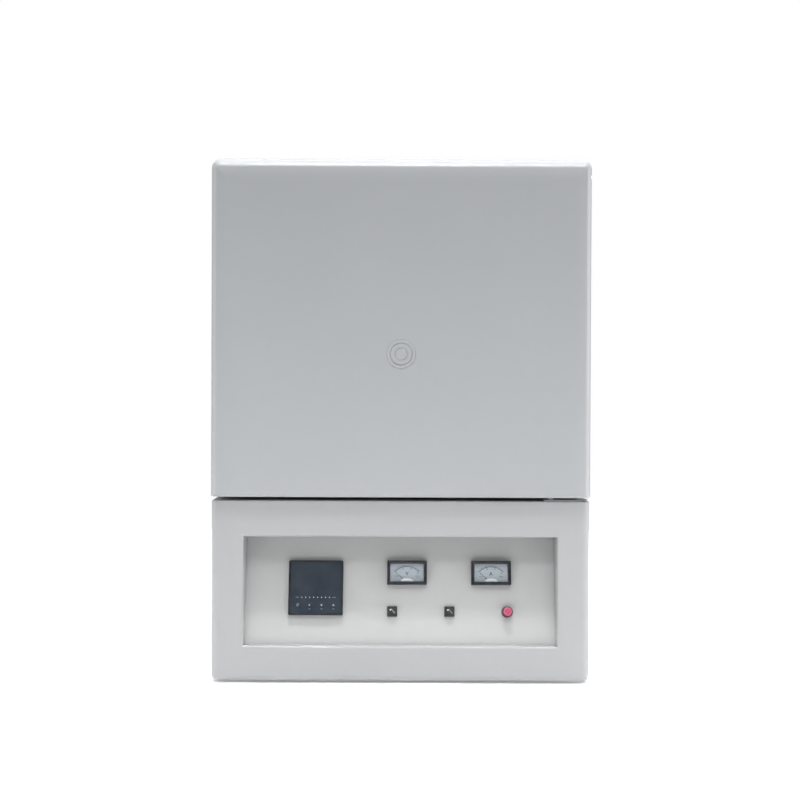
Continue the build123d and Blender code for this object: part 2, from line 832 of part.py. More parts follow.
# Door: a deep pan with rolled edges, its lining, plug and seal
def door_form(wall, rear):
    """The outer form of the door pan, drawn in by wall; plan, side and front outlines meet in it."""
    low = body_foot + wall
    high = body_top - wall
    front = door_front + wall
    width = cabinet_width - 2 * wall
    depth = rear - front
    with BuildPart() as form:
        with BuildSketch(Plane.XY.offset(low)) as plan:
            with Locations((0, front + depth / 2)):
                Rectangle(width, depth)
            fillet(plan.vertices().group_by(Axis.Y)[0], radius=door_side_radius - wall)
        extrude(amount=high - low)
        with BuildSketch(Plane.YZ.offset(-width / 2)) as side_view:
            with Locations((front + depth / 2, (low + high) / 2)):
                Rectangle(depth, high - low)
            front_corners = side_view.vertices().group_by(Axis.X)[0].sort_by(Axis.Y)
            fillet(front_corners[0], radius=door_hem_radius - wall)
            front_corners = side_view.vertices().group_by(Axis.X)[0].sort_by(Axis.Y)
            fillet(front_corners[-1], radius=door_top_radius - wall)
        extrude(amount=width, mode=Mode.INTERSECT)
        with BuildSketch(front_plane(front, z=(low + high) / 2)) as front_view:
            Rectangle(width, high - low)
            fillet(front_view.vertices().group_by(Axis.Y)[0], radius=door_hem_corner - wall)
            fillet(front_view.vertices().group_by(Axis.Y)[-1], radius=body_corner_radius - wall)
        extrude(amount=-depth, mode=Mode.INTERSECT)
    return form.part


pan_outside = door_form(0.0, door_rear)
pan_inside = door_form(sheet, door_rear)
grip_plane = Plane(
    origin=(-half_width, (door_front + door_rear) / 2 + plate, chamber_centre),
    x_dir=(0, 1, 0),
    z_dir=(-1, 0, 0),
)
arm_slot_height = hinge_arm_thickness + 2 * hinge_arm_play
with BuildPart() as door_pan:
    add(pan_outside)
    add(pan_inside, mode=Mode.SUBTRACT)
    with BuildSketch(front_plane(door_front, z=chamber_centre)):
        Circle(port_radius + port_gap)
    extrude(amount=-2 * sheet, mode=Mode.SUBTRACT)
    with BuildSketch(grip_plane):
        SlotOverall(grip_height, grip_width, rotation=90)
    extrude(amount=-2 * sheet, mode=Mode.SUBTRACT)
    # Way of the upper hinge arm, from the back round to the side
    arm_swing_edge = pivot_y - hinge_arm_width / 2 - hinge_arm_lead
    with BuildSketch(Plane.XY.offset(arm_middle - arm_slot_height / 2)):
        with Locations((half_width, (arm_swing_edge + door_rear) / 2)):
            Rectangle(2 * door_hem_radius, door_rear - arm_swing_edge)
    extrude(amount=arm_slot_height, mode=Mode.SUBTRACT)
    with BuildSketch(Plane.XY.offset(body_foot)):
        with Locations((pivot_x, pivot_y)):
            Circle(bush_radius)
    extrude(amount=sheet, mode=Mode.SUBTRACT)
keep(door_pan, "door_pan")

liner_half = half_width - sheet - liner_play
liner_foot = body_foot + sheet + liner_play
liner_top = body_top - sheet - liner_play
plug_half = chamber_width / 2 - plug_clearance
with BuildPart() as door_liner:
    with BuildSketch(front_plane(door_rear, z=(liner_foot + liner_top) / 2)) as liner_face:
        Rectangle(2 * liner_half, liner_top - liner_foot)
        fillet(liner_face.vertices().group_by(Axis.Y)[-1], radius=body_corner_radius - sheet)
        fillet(liner_face.vertices().group_by(Axis.Y)[0], radius=door_hem_corner - sheet)
        with Locations((0, chamber_centre - (liner_foot + liner_top) / 2)):
            Rectangle(2 * plug_half + 2 * plate, 2 * plug_half + 2 * plate, mode=Mode.SUBTRACT)
        with Locations((pivot_x, arm_middle - (liner_foot + liner_top) / 2)):
            Rectangle(2 * pivot_inset, arm_slot_height, mode=Mode.SUBTRACT)
    extrude(amount=sheet)
keep(door_liner, "door_liner")

fill_rear = door_rear - sheet
fill_right = pivot_x - bush_radius - 2 * hinge_arm_play - hinge_arm_lead
fill_left = -(half_width - grip_depth - 2 * sheet)
fill_foot = body_foot + 2 * door_hem_radius
fill_top = body_top - body_corner_radius
with BuildPart() as door_insulation:
    with BuildSketch(front_plane(door_front + sheet, (fill_left + fill_right) / 2,
                                 (fill_foot + fill_top) / 2)):
        RectangleRounded(fill_right - fill_left, fill_top - fill_foot, plug_corner)
    extrude(amount=-(fill_rear - door_front - sheet))
    fillet(
        door_insulation.faces().sort_by(Axis.Y)[0].edges().sort_by(Axis.Z)[-1],
        radius=plug_corner,
    )
    with BuildSketch(front_plane(door_front, z=chamber_centre)):
        Circle(sight_radius)
    extrude(amount=-door_thickness, mode=Mode.SUBTRACT)
keep(door_insulation, "door_insulation")

plug_reach = plug_tip - fill_rear
with BuildPart() as door_plug:
    with BuildSketch(front_plane(fill_rear, z=chamber_centre)):
        RectangleRounded(2 * plug_half, 2 * plug_half, plug_corner)
    extrude(amount=-plug_reach, taper=math.degrees(math.atan2(plug_taper, plug_reach)))
    with BuildSketch(front_plane(fill_rear, z=chamber_centre)):
        Circle(sight_radius)
    extrude(amount=-plug_reach, mode=Mode.SUBTRACT)
keep(door_plug, "door_plug")

seal_inner = mouth_width / 2 + plate
seal_thickness = door_seam - seal_squeeze
with BuildPart() as door_seal:
    with BuildSketch(front_plane(door_rear, z=chamber_centre)):
        RectangleRounded(
            2 * (seal_inner + seal_width), 2 * (seal_inner + seal_width), plug_corner + seal_width
        )
        RectangleRounded(2 * seal_inner, 2 * seal_inner, plug_corner, mode=Mode.SUBTRACT)
    extrude(amount=-seal_thickness)
    fillet(door_seal.faces().sort_by(Axis.Y)[-1].edges(), radius=seal_thickness / 2)
keep(door_seal, "door_seal")

# Flush port in the middle of the door, with its ringed cover
with BuildPart() as port_ring:
    with BuildSketch(Plane.YZ):
        with BuildLine():
            ring_back = door_front + sheet
            ring_face = door_front - port_proud
            Polyline(
                (ring_back, chamber_centre + port_cap_radius + port_gap),
                (ring_back, chamber_centre + port_radius),
                (ring_face + port_groove / 2, chamber_centre + port_radius),
                (ring_face, chamber_centre + port_radius - port_groove),
                (ring_face, chamber_centre + port_ring_groove + port_groove),
                (ring_face + port_groove, chamber_centre + port_ring_groove),
                (ring_face, chamber_centre + port_ring_groove - port_groove),
                (ring_face, chamber_centre + port_cap_radius + port_gap + port_groove),
                (ring_face + port_groove, chamber_centre + port_cap_radius + port_gap),
                close=True,
            )
        make_face()
    revolve(axis=Axis((0, 0, chamber_centre), (0, 1, 0)))
keep(port_ring, "port_ring")

with BuildPart() as port_cap:
    with BuildSketch(front_plane(door_front + sheet, z=chamber_centre)):
        Circle(port_cap_radius)
    extrude(amount=sheet + port_proud)
    fillet(port_cap.faces().sort_by(Axis.Y)[0].edges(), radius=port_cap_edge)
keep(port_cap, "port_cap")

with BuildPart() as sight_tube:
    with BuildSketch(front_plane(door_front + sheet, z=chamber_centre)):
        Circle(sight_radius)
        Circle(sight_bore, mode=Mode.SUBTRACT)
    extrude(amount=-(plug_tip - door_front - sheet))
keep(sight_tube, "sight_tube")

with BuildPart() as finger_grip:
    with BuildSketch(grip_plane):
        SlotOverall(grip_height, grip_width, rotation=90)
    extrude(amount=-grip_depth)
    with BuildSketch(grip_plane):
        SlotOverall(grip_height - 2 * grip_wall, grip_width - 2 * grip_wall, rotation=90)
    extrude(amount=-(grip_depth - grip_wall), mode=Mode.SUBTRACT)
keep(finger_grip, "finger_grip")

# Hinges: a plate in the gap and an arm through the frame, each with a pin
plate_top = base_top + hinge_plate_thickness
arm_foot = arm_middle - hinge_arm_thickness / 2
arm_top = arm_middle + hinge_arm_thickness / 2
with BuildPart() as hinge_plates:
    with BuildSketch(Plane.XY.offset(base_top)):
        with Locations((
            pivot_x + hinge_plate_width / 2 - hinge_plate_reach / 2, pivot_y + hinge_plate_set_back
        )):
            RectangleRounded(hinge_plate_reach, hinge_plate_width, hinge_plate_corner)
        with Locations((pivot_x, pivot_y)):
            Circle(pivot_radius, mode=Mode.SUBTRACT)
        with Locations(*hinge_screw_places):
            Circle(screw_radius + screw_hole_play, mode=Mode.SUBTRACT)
    extrude(amount=hinge_plate_thickness)
    with BuildSketch(Plane.XY.offset(arm_foot)):
        with Locations((pivot_x, (pivot_y + lining_front) / 2)):
            Rectangle(hinge_arm_width, lining_front - pivot_y)
        with Locations((pivot_x, pivot_y)):
            Circle(hinge_arm_width / 2)
            Circle(pivot_radius, mode=Mode.SUBTRACT)
    extrude(amount=hinge_arm_thickness)
    with BuildSketch(front_plane(lining_front, pivot_x, arm_middle)):
        Rectangle(2 * hinge_arm_width, 3 * hinge_arm_width)
    extrude(amount=-hinge_plate_thickness)
keep(hinge_plates, "hinge_plates")

lower_bush_foot = body_foot
upper_bush_top = body_top - sheet
upper_bush_foot = arm_top + bush_rest
with BuildPart() as hinge_pins:
    with BuildSketch(Plane.XY.offset(base_top)):
        with Locations((pivot_x, pivot_y)):
            Circle(pivot_radius)
    extrude(amount=lower_bush_foot + bush_length - bush_gap - base_top)
    with BuildSketch(Plane.XY.offset(plate_top)):
        with Locations((pivot_x, pivot_y)):
            Circle(collar_radius)
    extrude(amount=lower_bush_foot - bush_gap - plate_top)
    with BuildSketch(Plane.XY.offset(arm_foot)):
        with Locations((pivot_x, pivot_y)):
            Circle(pivot_radius)
    extrude(amount=upper_bush_foot + bush_length - bush_gap - arm_foot)
keep(hinge_pins, "hinge_pins")

with BuildPart() as hinge_bushes:
    with BuildSketch(Plane.XY.offset(upper_bush_foot)):
        with Locations((pivot_x, pivot_y)):
            Circle(bush_radius)
    extrude(amount=upper_bush_top - upper_bush_foot)
    add(pan_inside, mode=Mode.INTERSECT)
    with BuildSketch(Plane.XY.offset(lower_bush_foot)):
        with Locations((pivot_x, pivot_y)):
            Circle(bush_radius)
    extrude(amount=bush_length + sheet)
    with BuildSketch(Plane.XY.offset(lower_bush_foot)):
        with Locations((pivot_x, pivot_y)):
            Circle(pivot_radius + pivot_clearance)
    extrude(amount=bush_length, mode=Mode.SUBTRACT)
    with BuildSketch(Plane.XY.offset(upper_bush_foot)):
        with Locations((pivot_x, pivot_y)):
            Circle(pivot_radius + pivot_clearance)
    extrude(amount=bush_length, mode=Mode.SUBTRACT)
keep(hinge_bushes, "hinge_bushes")

with BuildPart() as magnet_catches:
    with BuildSketch(front_plane(body_front, -half_width + 2 * magnet_width, chamber_centre)):
        with GridLocations(magnet_width, magnet_pitch, 1, 2):
            RectangleRounded(magnet_width, magnet_height, magnet_corner)
    extrude(amount=door_seam - seal_squeeze)
keep(magnet_catches, "magnet_catches")


# Controller: housing with a rim, dark face and four keys
panel_out = Axis(panel_plane.origin, panel_plane.z_dir)
key_xs = [key_pitch * (index - (key_count - 1) / 2) for index in range(key_count)]
key_floor = controller_front - key_thickness - key_travel - key_clearance
with BuildPart() as controller_housing:
    with BuildSketch(panel_spot(controller_x, controller_y)):
        RectangleRounded(controller_size, controller_size, controller_corner)
    extrude(amount=controller_front)
    chamfer(
        controller_housing.faces().sort_by(panel_out)[-1].edges(), length=controller_rim / 3
    )
    with BuildSketch(panel_spot(controller_x, controller_y, controller_front)):
        Rectangle(controller_size - 2 * controller_rim, controller_size - 2 * controller_rim)
    extrude(amount=-window_thickness, mode=Mode.SUBTRACT)
    with BuildSketch(panel_spot(controller_x, controller_y - key_row, controller_front)):
        for key_x in key_xs:
            with Locations((key_x, 0)):
                RectangleRounded(
                    key_width + 2 * key_play, key_height + 2 * key_play, key_corner + key_play
                )
    extrude(amount=key_floor - controller_front, mode=Mode.SUBTRACT)
    with BuildSketch(panel_spot(controller_x, controller_y)):
        RectangleRounded(controller_body_size, controller_body_size, controller_body_corner)
    extrude(amount=-controller_body_depth)
keep(controller_housing, "controller_housing")

with BuildPart() as controller_window:
    with BuildSketch(panel_spot(controller_x, controller_y, controller_front - window_thickness)):
        window_size = controller_size - 2 * controller_rim - 2 * window_play
        Rectangle(window_size, window_size)
        for key_x in key_xs:
            with Locations((key_x, -key_row)):
                RectangleRounded(
                    key_width + 2 * key_play,
                    key_height + 2 * key_play,
                    key_corner + key_play,
                    mode=Mode.SUBTRACT,
                )
    extrude(amount=window_thickness)
keep(controller_window, "controller_window")

for number, key_x in enumerate(key_xs, start=1):
    with BuildPart() as key:
        with BuildSketch(
            panel_spot(controller_x + key_x, controller_y - key_row, controller_front - key_thickness)
        ):
            RectangleRounded(key_width, key_height, key_corner)
        extrude(amount=key_thickness)
        fillet(key.faces().sort_by(panel_out)[-1].edges(), radius=key_edge)
    keep(key, f"controller_key_{number}")


# Meters: case with a bevelled rim, dial, glass and needle
dial_face = meter_back + dial_thickness
lens_back = meter_depth - lens_thickness - lens_recess
hollow_width = meter_width - 2 * meter_wall
hollow_height = meter_height - 2 * meter_wall
with BuildPart() as meter_cases:
    for meter_x in (voltmeter_x, ammeter_x):
        with BuildSketch(panel_spot(meter_x, meter_y)):
            Rectangle(meter_width, meter_height)
        extrude(amount=meter_depth)
        with BuildSketch(panel_spot(meter_x, meter_y, meter_back)):
            Rectangle(hollow_width, hollow_height)
        extrude(amount=lens_back + lens_thickness - meter_back, mode=Mode.SUBTRACT)
        with BuildSketch(panel_spot(meter_x, meter_y, meter_back)):
            Rectangle(meter_width - 2 * meter_rim, meter_height - 2 * meter_rim)
        extrude(amount=meter_depth, mode=Mode.SUBTRACT)
        with BuildSketch(panel_spot(meter_x, meter_y)):
            Rectangle(meter_body_width, meter_body_height)
        extrude(amount=-meter_body_depth)
        with BuildSketch(panel_spot(meter_x, meter_y - pointer_drop)):
            Circle(pointer_pin_radius)
        extrude(amount=pointer_lift + pointer_thickness)
keep(meter_cases, "meter_cases")

with BuildPart() as meter_dials:
    for meter_x in (voltmeter_x, ammeter_x):
        with BuildSketch(panel_spot(meter_x, meter_y, meter_back)):
            Rectangle(hollow_width - 2 * window_play, hollow_height - 2 * window_play)
            with Locations((0, -pointer_drop)):
                Circle(pointer_pin_radius + window_play, mode=Mode.SUBTRACT)
        extrude(amount=dial_thickness)
keep(meter_dials, "meter_dials")

for meter_x, name in ((voltmeter_x, "voltmeter"), (ammeter_x, "ammeter")):
    with BuildPart() as needle:
        start = math.radians(90 + pointer_start)
        with BuildSketch(panel_spot(meter_x, meter_y - pointer_drop, pointer_lift)):
            with BuildLine():
                tip = (pointer_length * math.cos(start), pointer_length * math.sin(start))
                across = (pointer_half_width * math.sin(start), -pointer_half_width * math.cos(start))
                Polyline(
                    (across[0], across[1]),
                    (tip[0] + across[0] / 3, tip[1] + across[1] / 3),
                    (tip[0] - across[0] / 3, tip[1] - across[1] / 3),
                    (-across[0], -across[1]),
                    close=True,
                )
            make_face()
            Circle(pointer_hub_radius)
            Circle(pointer_pin_radius + pivot_clearance, mode=Mode.SUBTRACT)
        extrude(amount=pointer_thickness)
    keep(needle, f"{name}_needle")

with BuildPart() as meter_lenses:
    for meter_x in (voltmeter_x, ammeter_x):
        with BuildSketch(panel_spot(meter_x, meter_y, lens_back)):
            Rectangle(hollow_width - 2 * window_play, hollow_height - 2 * window_play)
        extrude(amount=lens_thickness)
keep(meter_lenses, "meter_lenses")


# Selector switches: square housings with bar knobs
with BuildPart() as selector_housings:
    for selector_x in (selector_left_x, selector_right_x):
        with BuildSketch(panel_spot(selector_x, control_row)):
            RectangleRounded(selector_size, selector_size, selector_corner)
        extrude(amount=selector_front)
        with BuildSketch(panel_spot(selector_x, control_row, selector_front)):
            Circle(knob_radius + knob_gap)
        extrude(amount=-selector_front / 2, mode=Mode.SUBTRACT)
        with BuildSketch(panel_spot(selector_x, control_row)):
            Circle(selector_barrel)
        extrude(amount=-selector_depth)
        with BuildSketch(panel_spot(selector_x, control_row, selector_front)):
            Circle(knob_stem_radius + knob_gap)
        extrude(amount=-selector_front - selector_depth / 2, mode=Mode.SUBTRACT)
keep(selector_housings, "selector_housings")

for selector_x, name in ((selector_left_x, "left"), (selector_right_x, "right")):
    with BuildPart() as knob:
        base_lift = selector_front / 2 + knob_gap
        with BuildSketch(panel_spot(selector_x, control_row, base_lift)):
            Circle(knob_radius)
        extrude(amount=selector_front - base_lift + knob_skirt_rise)
        with BuildSketch(panel_spot(selector_x, control_row, base_lift)):
            Circle(knob_stem_radius)
        extrude(amount=-selector_depth / 3)
        with BuildSketch(panel_spot(selector_x, control_row, base_lift)):
            SlotOverall(2 * (knob_radius - knob_bar_inset), knob_bar_width, rotation=knob_angle)
        extrude(amount=selector_front - base_lift + knob_bar_height)
        chamfer(knob.faces().sort_by(panel_out)[-1].edges(), length=knob_bar_edge)
    keep(knob, f"{name}_selector_knob")


# Push button: round collar with a domed cap that goes in and springs back
with BuildPart() as button_housing:
    with BuildSketch(panel_spot(button_x, control_row)):
        Circle(button_radius)
    extrude(amount=button_collar)
    fillet(button_housing.faces().sort_by(panel_out)[-1].edges(), radius=button_collar_edge)
    with BuildSketch(panel_spot(button_x, control_row)):
        Circle(button_barrel)
    extrude(amount=-button_depth)
    with BuildSketch(panel_spot(button_x, control_row, button_collar)):
        Circle(cap_radius + cap_gap)
    extrude(amount=-button_collar + plate, mode=Mode.SUBTRACT)
keep(button_housing, "button_housing")

cap_foot = plate + cap_travel + cap_clearance
with BuildPart() as button_cap:
    with BuildSketch(panel_spot(button_x, control_row, cap_foot)):
        Circle(cap_radius)
    extrude(amount=button_collar + cap_rise - cap_foot)
    fillet(button_cap.faces().sort_by(panel_out)[-1].edges(), radius=cap_edge)
keep(button_cap, "button_cap")


# Transformer and thyristor unit inside the cabinet
inner_floor = base_foot + sheet
core_window = (core_width - 3 * core_limb) / 2
with BuildPart() as transformer_core:
    with BuildSketch(front_plane(transformer_y - core_depth / 2, transformer_x,
                                 inner_floor + core_height / 2)):
        Rectangle(core_width, core_height)
        with GridLocations(core_window + core_limb, core_height, 2, 1):
            Rectangle(core_window, core_height - 2 * core_limb, mode=Mode.SUBTRACT)
    extrude(amount=-core_depth)
keep(transformer_core, "transformer_core")

winding_thickness = core_window - winding_gap
with BuildPart() as transformer_coil:
    with BuildSketch(Plane(origin=(transformer_x, transformer_y, inner_floor + core_limb + winding_gap))):
        RectangleRounded(
            core_limb + 2 * winding_thickness, core_depth + 2 * winding_thickness, winding_thickness
        )
        Rectangle(core_limb + 2 * former_play, core_depth + 2 * former_play, mode=Mode.SUBTRACT)
    extrude(amount=core_height - 2 * core_limb - 2 * winding_gap)
keep(transformer_coil, "transformer_coil")

with BuildPart() as heat_sink:
    with BuildSketch(Plane(origin=(sink_x, transformer_y, inner_floor))):
        Rectangle(sink_width, sink_base)
        with Locations((0, sink_base / 2 + fin_height / 2)):
            with GridLocations((sink_width - fin_thickness) / (fin_count - 1), 0, fin_count, 1):
                Rectangle(fin_thickness, fin_height)
    extrude(amount=sink_height)
keep(heat_sink, "heat_sink")

with BuildPart() as thyristor_module:
    with BuildSketch(front_plane(transformer_y - sink_base / 2, sink_x, inner_floor + sink_height / 2)):
        RectangleRounded(thyristor_width, thyristor_height, thyristor_corner)
    extrude(amount=thyristor_depth)
    with BuildSketch(front_plane(transformer_y - sink_base / 2 - thyristor_depth, sink_x,
                                 inner_floor + sink_height / 2)):
        with GridLocations(thyristor_width / 2, thyristor_height - 2 * terminal_inset, 2, 2):
            Circle(terminal_radius)
    extrude(amount=terminal_height)
    chamfer(thyristor_module.faces().sort_by(Axis.Y)[0].edges(), length=thyristor_edge)
keep(thyristor_module, "thyristor_module")

# Cooling fan in the rear cover
fan_face = rear_wall - fan_depth
with BuildPart() as fan_frame:
    with BuildSketch(front_plane(rear_wall, fan_x, fan_z)):
        RectangleRounded(fan_size, fan_size, fan_corner)
        Circle(fan_bore, mode=Mode.SUBTRACT)
        with GridLocations(fan_screw_pitch, fan_screw_pitch, 2, 2):
            Circle(screw_radius + screw_hole_play, mode=Mode.SUBTRACT)
    extrude(amount=fan_depth)
    with BuildSketch(front_plane(fan_face, fan_x, fan_z)):
        Circle(fan_hub)
        with PolarLocations(0, 4):
            with Locations(((fan_hub + fan_bore) / 2, 0)):
                Rectangle(fan_bore - fan_hub + plate, fan_strut_width)
    extrude(amount=-fan_strut_depth)
keep(fan_frame, "fan_frame")

blade_root = fan_hub - plate
blade_tip = fan_bore - blade_tip_gap
blade_middle = rear_wall - (fan_depth - fan_strut_depth) / 2
with BuildPart() as fan_rotor:
    with BuildSketch(front_plane(rear_wall - rotor_gap, fan_x, fan_z)):
        Circle(fan_hub)
    extrude(amount=fan_depth - fan_strut_depth - 2 * rotor_gap)
    fillet(fan_rotor.faces().sort_by(Axis.Y)[-1].edges(), radius=fan_hub_edge)
    for index in range(blade_count):
        turn = 2 * math.pi / blade_count * index
        outward = Vector(math.cos(turn), 0, math.sin(turn))
        root_plane = Plane(
            origin=Vector(fan_x, blade_middle, fan_z) + outward * blade_root,
            x_dir=(0, 1, 0),
            z_dir=outward,
        )
        with BuildSketch(root_plane):
            Rectangle(blade_root_thickness, blade_root_chord, rotation=blade_root_pitch)
        with BuildSketch(root_plane.offset(blade_tip - blade_root)):
            Rectangle(blade_tip_thickness, blade_tip_chord, rotation=blade_tip_pitch)
        loft()
keep(fan_rotor, "fan_rotor")

guard_reach = fan_screw_pitch / math.sqrt(2)
with BuildPart() as fan_guard:
    with BuildSketch(front_plane(cabinet_rear, fan_x, fan_z)):
        for number in range(guard_rings, 0, -1):
            Circle(guard_pitch * number + guard_wire)
            Circle(guard_pitch * number - guard_wire, mode=Mode.SUBTRACT)
        Circle(guard_pitch / 2)
        with PolarLocations(0, 4, start_angle=45):
            with Locations((guard_reach / 2, 0)):
                Rectangle(guard_reach, 2 * guard_wire)
        with GridLocations(fan_screw_pitch, fan_screw_pitch, 2, 2):
            Circle(2 * screw_head_radius)
            Circle(screw_radius + screw_hole_play, mode=Mode.SUBTRACT)
    extrude(amount=-2 * guard_wire)
keep(fan_guard, "fan_guard")

with BuildPart() as cable_gland:
    with BuildSketch(front_plane(cabinet_rear, gland_x, gland_z)):
        RegularPolygon(gland_radius, 6, major_radius=False)
    extrude(amount=-gland_nut_depth)
    with BuildSketch(front_plane(cabinet_rear + gland_nut_depth, gland_x, gland_z)):
        Circle(gland_dome_radius)
    extrude(amount=-(gland_length - gland_nut_depth))
    fillet(cable_gland.faces().sort_by(Axis.Y)[-1].edges(), radius=gland_dome_edge)
    with BuildSketch(front_plane(cabinet_rear, gland_x, gland_z)):
        Circle(gland_radius - plate)
    extrude(amount=gland_thread_depth)
    with BuildSketch(front_plane(rear_wall, gland_x, gland_z)):
        RegularPolygon(gland_radius, 6, major_radius=False)
    extrude(amount=gland_back_nut_depth)
    with BuildSketch(front_plane(cabinet_rear + gland_length, gland_x, gland_z)):
        Circle(gland_bore)
    extrude(amount=gland_length + gland_thread_depth, mode=Mode.SUBTRACT)
keep(cable_gland, "cable_gland")

earth_x = gland_x + earth_spacing
with BuildPart() as earth_stud:
    with BuildSketch(front_plane(cabinet_rear, earth_x, gland_z)):
        RegularPolygon(earth_nut_radius, 6, major_radius=False)
    extrude(amount=-earth_nut_depth)
    with BuildSketch(front_plane(cabinet_rear, earth_x, gland_z)):
        Circle(earth_stud_radius)
    extrude(amount=-earth_stud_length)
    chamfer(earth_stud.faces().sort_by(Axis.Y)[-1].edges(), length=earth_stud_edge)
keep(earth_stud, "earth_stud")


# Screws of the hinge plate, the covers and the fan guard
def pan_screw(spot):
    """A pan head above the plane and its shank below it."""
    with BuildPart() as screw:
        with BuildSketch(spot):
            Circle(screw_head_radius)
        extrude(amount=screw_head_height)
        fillet(
            screw.faces().sort_by(Axis(spot.origin, spot.z_dir))[-1].edges(), radius=screw_head_edge
        )
        with BuildSketch(spot):
            Circle(screw_radius)
        extrude(amount=-screw_length)
    return screw.part


def rear_spot(x, z, stand=0.0):
    """A plane on the rear face that looks to the back."""
    return Plane(origin=(x, cabinet_rear + stand, z), x_dir=(-1, 0, 0), z_dir=(0, 1, 0))


base_screw_places = [
    (side * hem_screw_x, base_foot + base_height / 2 + level * (base_height - flange_width) / 2)
    for side in (-1, 1)
    for level in (-1, 1)
]
fan_screw_places = [
    (fan_x + across * fan_screw_pitch / 2, fan_z + up * fan_screw_pitch / 2)
    for across in (-1, 1)
    for up in (-1, 1)
]
with BuildPart() as case_screws:
    for x, z in base_screw_places + body_screw_places:
        add(pan_screw(rear_spot(x, z)))
    for x, z in fan_screw_places:
        add(pan_screw(rear_spot(x, z, 2 * guard_wire)))
    for x, y in hinge_screw_places:
        add(pan_screw(Plane(origin=(x, y, plate_top))))
    for x, y in well_screw_places:
        spot = panel_spot(x, y, -plate)
        add(pan_screw(Plane(origin=spot.origin, x_dir=(1, 0, 0), z_dir=-spot.z_dir)))
keep(case_screws, "case_screws")
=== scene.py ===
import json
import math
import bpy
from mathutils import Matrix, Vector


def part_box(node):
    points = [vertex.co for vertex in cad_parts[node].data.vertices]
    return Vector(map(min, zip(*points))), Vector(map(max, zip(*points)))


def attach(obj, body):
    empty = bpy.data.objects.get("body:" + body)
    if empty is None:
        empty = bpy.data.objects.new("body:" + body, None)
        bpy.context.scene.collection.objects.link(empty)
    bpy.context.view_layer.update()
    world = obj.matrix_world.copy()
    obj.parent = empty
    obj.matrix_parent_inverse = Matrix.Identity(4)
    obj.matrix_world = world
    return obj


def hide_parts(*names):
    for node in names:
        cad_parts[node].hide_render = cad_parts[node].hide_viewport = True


bl_info = {
    "name": "Box furnace dressing",
    "version": (1, 0, 0),
    "blender": (4, 5, 0),
    "location": "View3D > Sidebar > Furnace",
    "description": "Dresses a box furnace's packed frame in paint, dials, lining and studio light",
    "category": "Object",
}

import bmesh
import bpy
import numpy as np
from bpy.props import FloatProperty, FloatVectorProperty, IntProperty, PointerProperty
from bpy.types import Operator, Panel, PropertyGroup
from mathutils import Matrix, Vector

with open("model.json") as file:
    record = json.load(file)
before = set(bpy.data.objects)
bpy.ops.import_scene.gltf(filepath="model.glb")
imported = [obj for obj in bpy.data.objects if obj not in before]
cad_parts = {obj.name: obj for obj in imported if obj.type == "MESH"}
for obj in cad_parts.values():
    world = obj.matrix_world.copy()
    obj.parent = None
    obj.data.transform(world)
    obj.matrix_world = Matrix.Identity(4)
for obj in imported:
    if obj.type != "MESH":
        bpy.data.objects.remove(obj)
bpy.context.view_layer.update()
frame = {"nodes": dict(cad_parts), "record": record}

# Shapes are worked out in millimetres and become metres when their mesh is made.
MM = 0.001
TURN = 2 * np.pi
QUARTER = np.pi / 2
HALF_SWEEP = math.radians(48.0)  # Half the angle that a meter's scale and pointer cover
WELD = 2e-6  # Points nearer than this, in metres, become one
SLIVER = 1e-7  # Faces thinner than this, in metres, are dropped


def corners(node):
    """Lowest and highest corner of a node of the frame, in millimetres."""
    low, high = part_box(node)
    return np.array(low) / MM, np.array(high) / MM


def mesh_values(items, name, width=3):
    """A value, or a row of values, for each of a mesh's items."""
    values = np.empty(len(items) * width)
    items.foreach_get(name, values)
    return values.reshape(-1, width) if width > 1 else values


def leaning_face(node):
    """Middle, up and outward direction of a plate's front face.

    The outward direction is the area-weighted mean of the normals that look to the front, and
    the face lies where the plate reaches furthest along it.
    """
    front_limit = -0.9
    mesh = frame["nodes"][node].data
    normals = mesh_values(mesh.polygons, "normal")
    areas = mesh_values(mesh.polygons, "area", 1)
    front = normals[:, 1] < front_limit
    out = (normals[front] * areas[front, None]).sum(axis=0)
    out /= np.linalg.norm(out)
    up = np.cross(out, (1.0, 0.0, 0.0))
    places = mesh_values(mesh.vertices, "co") / MM
    climb = places @ up
    middle = up * (climb.min() + climb.max()) / 2 + out * (places @ out).max()
    return middle, up, out


def loose_screws(node):
    """The points of each screw of a node, in millimetres.

    The points near the first one give a screw's middle, and the points near that middle are the
    screw's. They are taken away, and the rest is searched in the same way.
    """
    first_reach, screw_reach = 14.0, 9.0
    places = mesh_values(frame["nodes"][node].data.vertices, "co") / MM
    screws = []
    while len(places):
        near = np.abs(places - places[0]).max(axis=1) < first_reach
        near = np.abs(places - places[near].mean(axis=0)).max(axis=1) < screw_reach
        screws.append(places[near])
        places = places[~near]
    return screws


base_low, base_high = corners("base_shell")
door_low, door_high = corners("door_pan")
top_low, top_high = corners("top_cover")
port_low, port_high = corners("port_ring")
grip_low, grip_high = corners("finger_grip")
_, arm_high = corners("hinge_plates")
panel_middle, panel_up, panel_out = leaning_face("control_panel")


def length(name, default, description):
    """A size that a user can change, given in millimetres and kept in metres."""
    return FloatProperty(
        name=name, description=description, default=default * MM,
        unit="LENGTH", subtype="DISTANCE", precision=4,
    )


def angle(name, default, description):
    """An angle that a user can change, given in degrees."""
    return FloatProperty(
        name=name, description=description, default=math.radians(default), subtype="ANGLE"
    )


def power(name, default, description):
    """A light's power in watts, or the strength of the sky."""
    return FloatProperty(name=name, description=description, default=default, min=0.0)


def paint(name, default, description):
    """A colour that a user can change."""
    return FloatVectorProperty(
        name=name, description=description, default=default, size=3, min=0.0, max=1.0,
        subtype="COLOR",
    )


